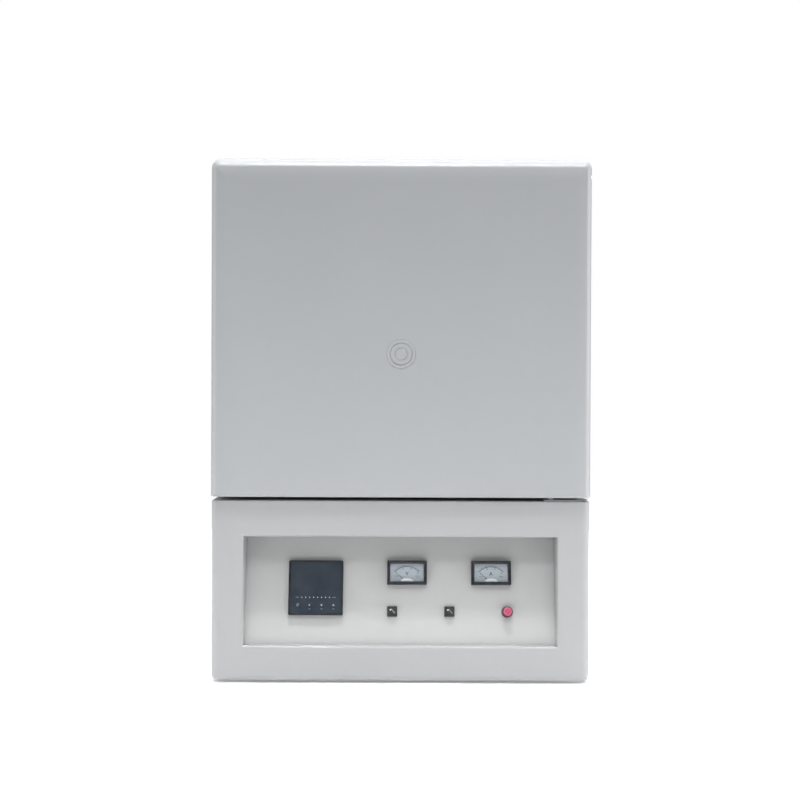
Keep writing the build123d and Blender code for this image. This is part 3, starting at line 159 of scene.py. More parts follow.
class FurnaceCase(PropertyGroup):
    """Sizes of the painted sheet work."""

    sheet: length("Sheet", 1.5, "Thickness of the painted sheet")
    door_side_roll: length("Door side roll", 10.0, "Radius of the door's rolled side edges")
    door_top_roll: length("Door top roll", 16.0, "Radius of the door's rolled top edge")
    door_hem_roll: length("Door hem roll", 3.5, "Radius of the door's lower edge")
    door_top_corner: length("Door top corner", 16.0, "Radius of the door's upper corners")
    door_low_corner: length("Door low corner", 4.0, "Radius of the door's lower corners")
    door_flatness: FloatProperty(
        name="Door edge flatness", description="0 is a round edge, 1 a straight chamfer",
        default=0.5, min=0.0, max=1.0,
    )
    base_side_roll: length("Base side roll", 14.0, "Radius of the cabinet's upright front edges")
    base_foot_roll: length("Base foot roll", 11.0, "Radius of the cabinet's lower edges")
    base_top_roll: length("Base top roll", 3.0, "Radius of the cabinet's upper edges")
    recess_half_width: length("Recess half width", 273.5, "Half the width of the recess")
    recess_foot: length("Recess foot", 65.0, "Height of the recess's lower edge")
    recess_top: length("Recess top", 256.0, "Height of the recess's upper edge")
    recess_lip: length("Recess lip", 3.2, "Radius of the recess's rolled edge")
    arm_drop: length("Arm slot drop", 21.0, "Distance of the hinge arm's slot below the arms' top")
    arm_slot: length("Arm slot", 6.6, "Height of the slot that the hinge arm goes through")
    arm_front: length("Arm slot front", 7.0, "Distance of the arm's slot behind the door's face")
    port_radius: length("Port radius", 25.2, "Outer radius of the port ring")
    port_groove: length("Port groove", 19.0, "Radius of the groove in the port ring")
    port_cap: length("Port cap", 10.5, "Radius of the port's middle")
    port_gap: length("Port gap", 0.35, "Width of the joints round the port's rings")


class FurnacePanel(PropertyGroup):
    """Sizes and places on the leaning panel, measured from its middle."""

    controller_x: length("Controller across", -149.0, "Place of the controller beside the middle")
    controller_size: length("Controller", 96.0, "Width and height of the controller")
    controller_rise: length("Controller rise", 9.0, "How far the controller stands off the panel")
    controller_rim: length("Controller rim", 3.2, "Width of the controller's rim")
    key_width: length("Key width", 13.0, "Width of a key")
    key_height: length("Key height", 9.0, "Height of a key")
    key_pitch: length("Key pitch", 21.0, "Distance between two keys")
    key_row: length("Key row", 30.5, "Distance of the keys below the controller's middle")
    key_count: IntProperty(name="Keys", description="Number of keys", default=4, min=1, max=8)
    meter_width: length("Meter width", 70.0, "Width of a meter")
    meter_height: length("Meter height", 42.0, "Height of a meter")
    meter_rise: length("Meter rise", 13.0, "How far a meter stands off the panel")
    meter_rim: length("Meter rim", 5.4, "Width of a meter's frame")
    meter_y: length("Meter height on the panel", 27.0, "Distance of the meters above the middle")
    voltmeter_x: length("Voltmeter across", 12.0, "Distance of the voltmeter from the middle")
    ammeter_x: length("Ammeter across", 161.0, "Distance of the ammeter from the middle")
    pointer_drop: length("Pointer drop", 17.4, "Distance of a pointer's pivot below its meter")
    pointer_length: length("Pointer", 27.0, "Length of a pointer")
    pointer_lift: length("Pointer lift", 6.0, "Height of a pointer above the panel")
    dial_lift: length("Dial lift", 3.3, "Height of a dial's face above the panel")
    dial_radius: length("Dial radius", 28.8, "Radius of the scale's line")
    control_row: length("Control row", -40.7, "Height of the switches' row over the middle")
    selector_left_x: length("Left selector", -14.0, "Place of the left selector beside the middle")
    selector_right_x: length(
        "Right selector", 87.0, "Place of the right selector beside the middle"
    )
    selector_size: length("Selector", 18.0, "Width and height of a selector's housing")
    selector_rise: length("Selector rise", 4.0, "How far a selector's housing stands off")
    knob_radius: length("Knob radius", 7.2, "Radius of a selector's knob")
    knob_rise: length("Knob rise", 6.5, "How far a knob's bar stands above its housing")
    button_x: length("Button across", 189.0, "Distance of the push button from the middle")
    button_radius: length("Button collar", 10.0, "Radius of the push button's collar")
    button_rise: length("Collar rise", 9.0, "How far the collar stands off the panel")
    cap_radius: length("Button cap", 8.2, "Radius of the push button's cap")
    cap_face: length("Cap face", 6.9, "Radius of the cap's bright face")
    cap_rise: length("Cap rise", 5.5, "How far the cap stands above its collar")


class FurnaceInside(PropertyGroup):
    """Sizes of the heating elements, the fan, its guard, the screws and the feet."""

    element_hot: length("Hot rod", 3.0, "Radius of an element's hot part")
    element_shank: length("Shank", 6.0, "Radius of an element's shank")
    element_gap: length("Leg gap", 50.0, "Distance between the legs of an element")
    element_pitch: length("Element pitch", 92.0, "Distance between two elements")
    element_drop: length("Shank drop", 8.0, "How far a shank comes through the roof")
    fan_hub: length("Fan hub", 20.0, "Radius of the fan's hub")
    fan_tip: length("Blade tip", 54.0, "Radius of the fan's blades")
    fan_blades: IntProperty(name="Blades", description="Number of blades", default=7, min=3, max=11)
    root_chord: length("Root chord", 20.0, "Width of a blade at the hub")
    tip_chord: length("Tip chord", 24.0, "Width of a blade at its tip")
    root_pitch: angle("Root pitch", 50.0, "Pitch of a blade at the hub")
    tip_pitch: angle("Tip pitch", 38.0, "Pitch of a blade at its tip")
    guard_pitch: length("Guard pitch", 12.0, "Distance between two rings of the guard")
    guard_rings: IntProperty(
        name="Guard rings", description="Number of rings", default=5, min=1, max=9
    )
    guard_eye: length("Guard eye", 52.5, "Half the distance between the guard's screws")
    screw_head: length("Screw head", 4.2, "Radius of a screw's head")
    screw_rise: length("Screw rise", 2.2, "Height of a screw's head")
    foot_radius: length("Foot", 20.0, "Radius of a foot")


class FurnaceColours(PropertyGroup):
    """Colours of the finishes."""

    case: paint("Case paint", (0.425, 0.427, 0.432), "Paint of the cabinet and the body")
    door: paint("Door paint", (0.424, 0.437, 0.446), "Paint of the door")
    panel: paint("Panel paint", (0.515, 0.515, 0.513), "Paint of the control panel")
    black: paint("Black plastic", (0.009, 0.011, 0.015), "Bezels, housings and knobs")
    face: paint("Controller face", (0.019, 0.029, 0.044), "Window of the controller")
    dial: paint("Dial card", (0.51, 0.565, 0.62), "Cards of the meters")
    print: paint("Print", (0.020, 0.024, 0.036), "Marks on the dials")
    cap: paint("Button cap", (0.49, 0.032, 0.12), "Cap of the push button")
    fibre: paint("Fibre board", (0.80, 0.77, 0.70), "Lining of the chamber")
    steel: paint("Steel", (0.55, 0.56, 0.57), "Plated and stainless parts")


class FurnaceStudio(PropertyGroup):
    """Camera, floor, sky and soft boxes."""

    distance: length("Camera distance", 2200.0, "From the camera to the door's face")
    height: length("Camera height", 517.0, "Height of the camera over the floor")
    shift: length("Camera across", -6.0, "Place of the camera beside the middle")
    lens: FloatProperty(name="Lens", default=57.15, description="Focal length in millimetres")
    yaw: angle("Yaw", 0.11, "Turn of the camera to the right")
    pitch: angle("Pitch", -0.58, "Tilt of the camera upwards")
    roll: angle("Roll", 0.24, "Lean of the camera to the side")
    backdrop: paint("Backdrop", (1.0, 1.0, 1.0), "Colour behind the furnace")
    floor: paint("Floor", (0.88, 0.88, 0.88), "Colour of the floor")
    floor_reach: length("Floor reach", 2200.0, "Radius of the floor")
    floor_near: power("Floor glow near", 0.16, "Glow of the floor beside the furnace")
    floor_far: power("Floor glow far", 0.60, "Glow of the floor away from the furnace")
    sky_low: power("Sky at the horizon", 0.10, "Strength of the even light from the sides")
    sky_high: power("Sky overhead", 1.10, "Strength of the even light from above")
    top_power: power("Top light", 36.0, "Power of the soft box above the furnace")
    left_power: power("Left light", 11.0, "Power of the soft box on the left")
    right_power: power("Right light", 25.0, "Power of the soft box on the right")
    ledge_power: power("Ledge light", 1.3, "Power of the gathered soft box close over the door")
    front_power: power("Front light", 0.56, "Power of the gathered soft box above the camera")
    front_spread: angle("Front spread", 26.0, "How widely the gathered lights fan out")


def mm(value):
    """A kept size as millimetres, without the last digits that single precision adds."""
    return round(value / MM, 4)


def sizes_in_mm(group, *names):
    """Several kept sizes of a group, as millimetres."""
    return [mm(getattr(group, name)) for name in names]


# Directions across, up and out of a place that looks one way
FRONTWARDS = np.array([(1.0, 0, 0), (0, 0, 1.0), (0, -1.0, 0)])
BACKWARDS = np.array([(-1.0, 0, 0), (0, 0, 1.0), (0, 1.0, 0)])
LEFTWARDS = np.array([(0, -1.0, 0), (0, 0, 1.0), (-1.0, 0, 0)])
UPWARDS = np.identity(3)


def place_on_panel(x, y, lift=0.0):
    """A place on the leaning panel: its origin and its three directions."""
    origin = panel_middle + np.array([x, 0.0, 0.0]) + panel_up * y + panel_out * lift
    return origin, np.array([(1.0, 0.0, 0.0), panel_up, panel_out])


def put(points, place):
    """Carries local points to a place: each coordinate runs along one of its directions."""
    origin, axes = place
    return origin + np.asarray(points, float) @ axes


# Shapes
def joined(*parts):
    """Points from their coordinates, which are spread to one common shape first."""
    return np.stack(np.broadcast_arrays(*parts), axis=-1)


def lifted(flat, lift):
    """Flat points with a lift as their third coordinate."""
    return joined(flat[..., 0], flat[..., 1], lift)


def on_circle(turn):
    """Points of a circle of radius 1: the cosine and the sine of each angle."""
    return joined(np.cos(turn), np.sin(turn))


def bars(half_width, half_height, spots):
    """Flat bars centred on their spots, four corners for each."""
    corner_signs = np.array([(-1, -1, 0), (1, -1, 0), (1, 1, 0), (-1, 1, 0)])
    return corner_signs * (half_width, half_height, 0) + np.array(spots)[:, None]


def rim_of(index, rows, columns):
    """Point numbers round the block of cells between two rows and two columns of a grid."""
    (low, high), (first, last) = rows, columns
    return np.concatenate([
        index[low, first:last], index[low:high, last],
        index[high, last:first:-1], index[high:low:-1, first],
    ])


def on_side(loop, outward, side, ends):
    """Numbers of a loop's points on its left (-1) or right (1) side, between two heights."""
    slack = 0.01
    level = loop[:, 1]
    between = (level > min(ends) - slack) & (level < max(ends) + slack)
    return np.flatnonzero(np.isclose(outward[:, 0], side) & between)


def rounded_loop(width, height, radii, arc=8, sides=4, marks=((), (), (), ())):
    """A rectangle whose corners are quarter circles, anticlockwise from the upper right corner.

    Gives the points and the outward direction at each. The corners go right, left, left, right
    from the top; the points of a straight side are evenly spaced, with its marks added.
    """
    half = np.array([width, height]) / 2
    signs = np.array([[1, 1], [-1, 1], [-1, -1], [1, -1]])
    radii = np.broadcast_to(np.asarray(radii, float), (4,))
    points, outward = [], []
    for corner in range(4):
        following = (corner + 1) % 4
        out = on_circle(corner * QUARTER + np.linspace(0, QUARTER, arc + 1))
        bend = signs[corner] * (half - radii[corner]) + radii[corner] * out
        target = signs[following] * (half - radii[following]) + radii[following] * out[-1]
        share = np.linspace(0, 1, sides + 1)[1:-1]
        if len(marks[corner]):
            run = corner % 2
            span = target[run] - bend[-1, run]
            share = np.union1d(share, (np.asarray(marks[corner]) - bend[-1, run]) / span)
        points += [bend, bend[-1] + share[:, None] * (target - bend[-1])]
        outward += [out, np.repeat(out[-1:], len(share), axis=0)]
    return np.concatenate(points), np.concatenate(outward)


def soft_profile(points, radii, steps=5):
    """A polyline whose inner corners are swapped for parabolas that start a radius before them."""
    points = np.asarray(points, float)
    share = np.linspace(0, 1, steps)[:, None]
    rows = [points[:1]]
    for before, corner, after, radius in zip(points, points[1:], points[2:], radii):
        start = corner + (before - corner) / np.linalg.norm(before - corner) * radius
        end = corner + (after - corner) / np.linalg.norm(after - corner) * radius
        bend = (1 - share) ** 2 * start + 2 * share * (1 - share) * corner + share**2 * end
        rows.append(bend if radius else corner[None])
    return np.concatenate(rows + [points[-1:]])


def loop_rows(width, height, radius, profile, arc=6, sides=2):
    """A profile carried round a rounded rectangle: each (inset, lift) of the profile is one loop,
    smaller by the inset on every side."""
    least_radius = 0.02
    rows = []
    for inset, lift in profile:
        loop, _ = rounded_loop(
            width - 2 * inset, height - 2 * inset, max(radius - inset, least_radius), arc, sides
        )
        rows.append(lifted(loop, lift))
    return np.stack(rows)


def turned_rows(profile, steps=48):
    """A profile turned round the outward axis: each (radius, lift) of it is one circle."""
    radius, lift = np.asarray(profile, float).T[..., None]
    turn = np.linspace(0, TURN, steps, endpoint=False)
    return joined(radius * np.cos(turn), radius * np.sin(turn), lift)


def tube_rows(path, radius, across, ring=False, around=14):
    """Circles carried along a flat path: each is spanned by the path's own plane direction
    across it and by the direction square to both."""
    path = np.asarray(path, float)
    if ring:
        ahead = np.roll(path, -1, axis=0) - np.roll(path, 1, axis=0)
    else:
        ahead = np.gradient(path, axis=0)
    ahead /= np.linalg.norm(ahead, axis=1, keepdims=True)
    across = np.broadcast_to(np.asarray(across, float), path.shape)
    beside = np.cross(ahead, across)
    turn = np.linspace(0, TURN, around, endpoint=False)[:, None]
    spokes = np.cos(turn) * beside[:, None] + np.sin(turn) * across[:, None]
    return path[:, None] + radius * spokes


def roll_shares(steps, flatness):
    """Drawn-in and drawn-back shares along a rolled edge.

    They go from 0 to 1 and from 1 to 0 as a quarter circle does, mixed with a straight chamfer
    by the flatness.
    """
    share = np.linspace(0, 1, steps + 1)[1:]
    drawn = (1 - flatness) * (1 - np.cos(share * QUARTER)) + flatness * share
    behind = (1 - flatness) * (1 - np.sin(share * QUARTER)) + flatness * (1 - share)
    return drawn, behind


def ease(share):
    """Smooth change from 0 to 1: three times the square less twice the cube."""
    share = np.clip(share, 0, 1)
    return share * share * (3 - 2 * share)


class Sheet:
    """Points and faces of one piece, gathered before they become a mesh."""

    def __init__(self):
        self.points = []
        self.faces = []
        self.kinds = []
        self.count = 0

    def add(self, points):
        """Adds points and gives their numbers, in the layout that the points have."""
        index = np.arange(points[..., 0].size).reshape(points.shape[:-1]) + self.count
        self.points.append(points.reshape(-1, 3))
        self.count += index.size
        return index

    def shapes(self, faces, kind=0):
        """Adds faces, given as rows of point numbers."""
        self.faces += faces.tolist() if isinstance(faces, np.ndarray) else faces
        self.kinds.append(np.full(len(faces), kind, dtype=np.int32))

    def quads(self, index, ring=False, kind=0, keep=None):
        """Adds the quads of a grid of point numbers; keep masks the cells that stay."""
        if ring:
            index = np.hstack([index, index[:, :1]])
        cells = np.stack(
            [index[:-1, :-1], index[:-1, 1:], index[1:, 1:], index[1:, :-1]], axis=-1
        )
        self.shapes(cells.reshape(-1, 4) if keep is None else cells[keep], kind)

    def grid(self, points, ring=False, kind=0, keep=None):
        """Adds rows of points and the quads between them; a ring joins each row's two ends."""
        index = self.add(points)
        self.quads(index, ring, kind, keep)
        return index

    def inside(self, outer, rows):
        """Joins a loop of points that is already there to new loops inside it."""
        self.quads(np.vstack([outer[None], self.add(rows)]), ring=True)

    def close(self, loop, middle, kind=0):
        """Closes a loop with a fan of triangles round its middle."""
        hub = np.full(len(loop), self.add(middle))
        self.shapes(np.stack([loop, np.roll(loop, -1), hub], axis=-1), kind)

    def form(self, rows, place, kind=0, foot=False, head=True):
        """Adds rings of local points at a place, and closes the last and the first if asked."""
        index = self.grid(put(rows, place), ring=True, kind=kind)
        if head:
            self.close(index[-1], put(rows[-1].mean(axis=0), place), kind)
        if foot:
            self.close(index[0][::-1], put(rows[0].mean(axis=0), place), kind)

    def strips(self, cells, place, kind=0):
        """Adds loose four-cornered marks, given as local corner points."""
        self.shapes(self.add(put(cells, place)), kind)

    def letters(self, text, size, spot, lift, place, weight):
        """Adds flat letters, centred on a spot of a place and thickened by a weight."""
        curve = bpy.data.curves.new("letters", "FONT")
        curve.body = text
        curve.size = size
        curve.offset = weight
        curve.align_x = "CENTER"
        curve.align_y = "CENTER"
        curve.resolution_u = 3
        holder = bpy.data.objects.new("letters", curve)
        mesh = bpy.data.meshes.new_from_object(holder)
        index = self.add(put(mesh_values(mesh.vertices, "co") + (*spot, lift), place))
        self.shapes([index[list(face.vertices)].tolist() for face in mesh.polygons])
        bpy.data.objects.remove(holder)
        bpy.data.curves.remove(curve)
        bpy.data.meshes.remove(mesh)

    def piece(self, name, body, kinds, stands_for=(), sharp=32.0, inward=False,
              loose=False):
        """Makes the mesh, turns its faces outwards, gives it its finishes and lets it ride.

        The kinds are the names of its finishes. Faces look outwards when the sum, over all of
        them, of area times the way from the middle along the normal is positive; for an inward
        sheet it is negative.
        """
        mesh = bpy.data.meshes.new(name)
        mesh.from_pydata(np.concatenate(self.points) * MM, [], self.faces)
        mesh.polygons.foreach_set("material_index", np.concatenate(self.kinds))
        work = bmesh.new()
        work.from_mesh(mesh)
        if not loose:
            bmesh.ops.remove_doubles(work, verts=work.verts, dist=WELD)
            bmesh.ops.dissolve_degenerate(work, dist=SLIVER, edges=work.edges)
            bmesh.ops.recalc_face_normals(work, faces=work.faces)
        work.to_mesh(mesh)
        work.free()
        if not loose:
            normals = mesh_values(mesh.polygons, "normal")
            centres = mesh_values(mesh.polygons, "center")
            areas = mesh_values(mesh.polygons, "area", 1)
            middle = (centres.min(axis=0) + centres.max(axis=0)) / 2
            reach = ((centres - middle) * normals).sum(axis=1) @ areas
            if (reach < 0) != inward:
                mesh.flip_normals()
        mesh.shade_smooth()
        mesh.set_sharp_from_angle(angle=math.radians(sharp))
        for kind in kinds:
            mesh.materials.append(finishes[kind])
        made = bpy.data.objects.new(name, mesh)
        bpy.context.scene.collection.objects.link(made)
        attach(made, body)
        if stands_for:
            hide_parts(*stands_for)
        return made


def thicken(made, thickness):
    """Gives a sheet its thickness on the inner side."""
    wall = made.modifiers.new("Wall", "SOLIDIFY")
    wall.thickness = thickness * MM
    wall.offset = -1.0
    return made


# Finishes
class Finish:
    """A procedural material round one Principled shader, its patterns on Object coordinates."""

    def __init__(self, name, colour, roughness=0.5, metallic=0.0, **sockets):
        self.material = bpy.data.materials.new(name)
        self.material.use_nodes = True
        self.tree = self.material.node_tree
        self.shader = self.tree.nodes["Principled BSDF"]
        self.base = tuple(colour)
        self.colour = (*self.base, 1.0)
        sockets.update(Base_Color=self.colour, Roughness=roughness, Metallic=metallic)
        for socket, value in sockets.items():
            self.shader.inputs[socket.replace("_", " ")].default_value = value
        self.object_place = self.tree.nodes.new("ShaderNodeTexCoord").outputs["Object"]
        self.normal = None

    def feed(self, socket, value):
        """Links an input to another node's output, or sets it to a value."""
        if isinstance(value, bpy.types.NodeSocket):
            self.tree.links.new(value, socket)
        else:
            socket.default_value = value

    def node(self, kind, **inputs):
        """A new node with its inputs fed by name."""
        made = self.tree.nodes.new(f"ShaderNode{kind}")
        for name, value in inputs.items():
            self.feed(made.inputs[name.replace("_", " ")], value)
        return made

    def noise(self, scale, detail=3.0, stretch=None, distortion=0.0):
        """Soft noise with so many features to the metre, stretched along each axis if asked."""
        place = self.object_place
        if stretch:
            place = self.node("Mapping", Vector=place, Scale=stretch).outputs["Vector"]
        return self.node(
            "TexNoise", Vector=place, Scale=scale, Detail=detail, Distortion=distortion
        ).outputs[0]

    def cells(self, scale):
        """Distance to the nearest of scattered points."""
        return self.node("TexVoronoi", Vector=self.object_place, Scale=scale).outputs["Distance"]

    def crystals(self, scale):
        """One grey for each cell round scattered points."""
        cells = self.node("TexVoronoi", Vector=self.object_place, Scale=scale)
        return self.node("RGBToBW", Color=cells.outputs["Color"]).outputs["Val"]

    def bands(self, scale, axis, distortion=0.0):
        """Even bands across an axis."""
        made = self.node("TexWave", Vector=self.object_place, Scale=scale, Distortion=distortion)
        made.bands_direction = axis
        return made.outputs["Fac"]

    def span(self, pattern, low, high, start=0.3, end=0.7):
        """Turns a pattern between start and end into a value between low and high."""
        return self.node(
            "MapRange", Value=pattern, From_Min=start, From_Max=end, To_Min=low, To_Max=high
        ).outputs["Result"]

    def tint(self, pattern, other, low, high, start=0.3, end=0.7):
        """Mixes another colour in, by a share that follows the pattern from low to high.

        The other colour can be a single number: the first colour made lighter by that share.
        """
        if isinstance(other, float):
            other = lighter(self.base, other)
        share = self.span(pattern, low, high, start, end)
        mix = self.tree.nodes.new("ShaderNodeMix")
        mix.data_type = "RGBA"
        for socket, value in (("Factor", share), (6, self.colour), (7, (*other, 1.0))):
            self.feed(mix.inputs[socket], value)
        self.colour = mix.outputs[2]
        self.feed(self.shader.inputs["Base Color"], self.colour)

    def gloss(self, pattern, low, high, start=0.3, end=0.7):
        """Lets the roughness wander between low and high."""
        self.feed(self.shader.inputs["Roughness"], self.span(pattern, low, high, start, end))

    def bump(self, pattern, depth, strength):
        """Raises the surface by a depth in millimetres where the pattern is 1."""
        made = self.node("Bump", Height=pattern, Strength=strength, Distance=depth * MM)
        if self.normal is not None:
            self.feed(made.inputs["Normal"], self.normal)
        self.normal = made.outputs["Normal"]
        self.feed(self.shader.inputs["Normal"], self.normal)


def lighter(colour, share):
    """A colour moved towards white by a share, or towards black by a negative one."""
    target = 1.0 if share > 0 else 0.0
    return tuple(part + (target - part) * abs(share) for part in colour)


def powder_paint(name, colour, roughness=0.38):
    """Baked powder paint: orange peel, faint cloudiness and a slightly wavy sheet below."""
    finish = Finish(name, colour, roughness, Specular_IOR_Level=0.5)
    finish.tint(finish.noise(5.0, 3.0), 0.05, 0.0, 0.35)
    finish.tint(finish.noise(42.0, 5.0), -0.05, 0.0, 0.25, 0.45, 0.8)
    finish.tint(finish.cells(950.0), -0.22, 0.10, 0.0, 0.0, 0.12)
    finish.gloss(finish.noise(70.0, 4.0), roughness - 0.05, roughness + 0.07)
    finish.bump(finish.noise(4.0, 1.0), 0.9, 0.35)
    finish.bump(finish.noise(620.0, 2.0), 0.045, 0.5)
    return finish.material


def plated_steel(name, colour, roughness, grain=None):
    """Plated or brushed steel: fine lines along the grain and dull patches."""
    finish = Finish(name, colour, roughness, metallic=1.0)
    finish.tint(finish.noise(60.0, 4.0), -0.25, 0.0, 0.5)
    finish.gloss(finish.noise(2600.0, 2.0, grain), roughness - 0.05, roughness + 0.10)
    finish.bump(finish.noise(3000.0, 2.0, grain), 0.010, 0.5)
    return finish.material


def zinc_spangle(name, colour):
    """Hot-dipped zinc: flat crystals of different greys."""
    finish = Finish(name, colour, 0.42, metallic=0.9)
    finish.tint(finish.crystals(110.0), -0.35, 0.0, 0.55)
    finish.tint(finish.noise(18.0, 4.0), 0.25, 0.0, 0.3)
    finish.gloss(finish.crystals(110.0), 0.32, 0.55)
    finish.bump(finish.noise(500.0, 3.0), 0.02, 0.5)
    return finish.material


def moulded_plastic(name, colour, roughness, shine=0.5):
    """Moulded plastic: fine spark texture, rubbed a little smoother in places."""
    finish = Finish(name, colour, roughness, Specular_IOR_Level=shine)
    finish.tint(finish.noise(90.0, 4.0), 0.04, 0.0, 0.5)
    finish.gloss(finish.noise(140.0, 3.0), roughness - 0.08, roughness + 0.1)
    finish.bump(finish.noise(1500.0, 2.0), 0.02, 0.5)
    return finish.material


def glossy_face(name, colour):
    """The controller's window: smooth tinted plastic with a few hairlines."""
    finish = Finish(name, colour, 0.16, Coat_Weight=0.3, Coat_Roughness=0.05)
    finish.tint(finish.noise(26.0, 2.0), 0.025, 0.0, 0.7)
    finish.gloss(finish.noise(2600.0, 2.0, (1, 0.04, 0.04)), 0.10, 0.26, 0.5, 0.8)
    finish.bump(finish.noise(30.0, 1.0), 0.03, 0.3)
    return finish.material


def clear_lens(name):
    """Thin clear plastic over a dial: mostly see-through, with a mirror-like surface."""
    finish = Finish(name, (0.5, 0.55, 0.6), 0.06, IOR=1.3, Alpha=0.07)
    finish.gloss(finish.noise(300.0, 4.0), 0.03, 0.14, 0.4, 0.8)
    finish.bump(finish.noise(60.0, 1.0), 0.02, 0.2)
    return finish.material


def dial_card(name, colour):
    """Printed card: matt, with a paper tooth and slightly uneven whiteness."""
    finish = Finish(name, colour, 0.72)
    finish.tint(finish.noise(80.0, 3.0), 0.12, 0.0, 0.6)
    finish.tint(finish.noise(2400.0, 3.0), -0.12, 0.0, 0.25)
    finish.bump(finish.noise(1800.0, 2.0), 0.01, 0.5)
    return finish.material


def ink(name, colour, roughness=0.5):
    """Printed or filled marks, a little uneven in strength."""
    finish = Finish(name, colour, roughness)
    finish.tint(finish.noise(700.0, 3.0), 0.08, 0.0, 0.5)
    finish.gloss(finish.noise(900.0, 2.0), roughness - 0.1, roughness + 0.1)
    return finish.material


def fibre_board(name, colour):
    """Vacuum-formed fibre: felted strands, pinholes and faint scorching."""
    finish = Finish(name, colour, 0.95, Specular_IOR_Level=0.15)
    finish.tint(finish.noise(14.0, 5.0, distortion=0.6), (0.62, 0.55, 0.44), 0.0, 0.4)
    finish.tint(finish.noise(620.0, 4.0, (1, 0.25, 1)), -0.22, 0.0, 0.5)
    finish.tint(finish.cells(240.0), (0.45, 0.40, 0.33), 0.5, 0.0, 0.02, 0.1)
    finish.bump(finish.noise(480.0, 5.0, (1, 0.3, 1), 0.8), 0.45, 0.7)
    finish.bump(finish.noise(60.0, 3.0), 0.8, 0.4)
    return finish.material


def fired_ceramic(name, colour, roughness=0.6):
    """Fired ceramic: sandy bump with small dark grains."""
    finish = Finish(name, colour, roughness)
    finish.tint(finish.noise(40.0, 4.0), -0.2, 0.0, 0.5)
    finish.tint(finish.cells(420.0), -0.6, 0.6, 0.0, 0.02, 0.12)
    finish.gloss(finish.noise(200.0, 3.0), roughness - 0.12, roughness + 0.15)
    finish.bump(finish.noise(700.0, 4.0), 0.12, 0.6)
    return finish.material


def glassy_rod(name, colour):
    """Silicide rod: dark, with a thin glassy skin and brown bloom."""
    finish = Finish(name, colour, 0.3, metallic=0.35, Coat_Weight=0.4, Coat_Roughness=0.12)
    finish.tint(finish.noise(45.0, 4.0, (1, 1, 0.3)), (0.16, 0.12, 0.09), 0.0, 0.7)
    finish.gloss(finish.noise(160.0, 4.0), 0.2, 0.5)
    finish.bump(finish.noise(500.0, 4.0), 0.08, 0.5)
    return finish.material


def soft_rubber(name, colour):
    """Rubber: matt and lightly dusty."""
    finish = Finish(name, colour, 0.8, Specular_IOR_Level=0.3)
    finish.tint(finish.noise(120.0, 4.0), 0.07, 0.0, 0.6)
    finish.gloss(finish.noise(300.0, 3.0), 0.65, 0.95)
    finish.bump(finish.noise(900.0, 3.0), 0.05, 0.6)
    return finish.material


def woven_seal(name, colour):
    """Braided fibre rope: crossed bands of yarn."""
    finish = Finish(name, colour, 0.9, Sheen_Weight=0.3)
    finish.tint(finish.bands(260.0, "DIAGONAL"), -0.3, 0.0, 0.5)
    finish.tint(finish.noise(500.0, 4.0), -0.15, 0.0, 0.5)
    finish.bump(finish.bands(260.0, "DIAGONAL", 1.0), 0.4, 0.8)
    return finish.material


def laminated_iron(name, colour):
    """Transformer core: the edges of stacked sheets under thin varnish."""
    finish = Finish(name, colour, 0.5, metallic=0.6)
    finish.tint(finish.bands(320.0, "Y"), -0.5, 0.0, 0.7)
    finish.tint(finish.noise(30.0, 4.0), (0.11, 0.06, 0.035), 0.0, 0.5)
    finish.bump(finish.bands(320.0, "Y", 0.4), 0.12, 0.8)
    return finish.material


def wound_wire(name, colour):
    """Enamelled wire laid turn on turn."""
    finish = Finish(name, colour, 0.35, metallic=0.3, Coat_Weight=0.4)
    finish.tint(finish.bands(150.0, "Z"), -0.6, 0.0, 0.8)
    finish.tint(finish.noise(60.0, 3.0), 0.1, 0.0, 0.4)
    finish.bump(finish.bands(150.0, "Z", 0.2), 0.6, 1.0)
    return finish.material


def tinted_cap(name, colour):
    """Translucent coloured plastic with light held inside."""
    finish = Finish(
        name, colour, 0.28, Subsurface_Weight=0.25, Subsurface_Scale=0.004, Coat_Weight=0.5
    )
    finish.tint(finish.noise(180.0, 3.0), 0.12, 0.0, 0.5)
    finish.gloss(finish.noise(400.0, 3.0), 0.2, 0.4)
    finish.bump(finish.noise(900.0, 2.0), 0.02, 0.4)
    return finish.material


def studio_floor(name, colour, near, far):
    """Pale seamless floor with a barely uneven tone, lit from below away from the furnace."""
    finish = Finish(name, colour, 0.7, Specular_IOR_Level=0.2, Emission_Color=(1.0, 1.0, 1.0, 1.0))
    finish.tint(finish.noise(1.5, 3.0), 0.15, 0.0, 0.5)
    finish.gloss(finish.noise(9.0, 3.0), 0.6, 0.8)
    reach = finish.tree.nodes.new("ShaderNodeVectorMath")
    reach.operation = "LENGTH"
    finish.feed(reach.inputs[0], finish.object_place)
    glow = finish.span(reach.outputs["Value"], near, far, 0.35, 1.1)
    finish.feed(finish.shader.inputs["Emission Strength"], glow)
    return finish.material


finishes = {}


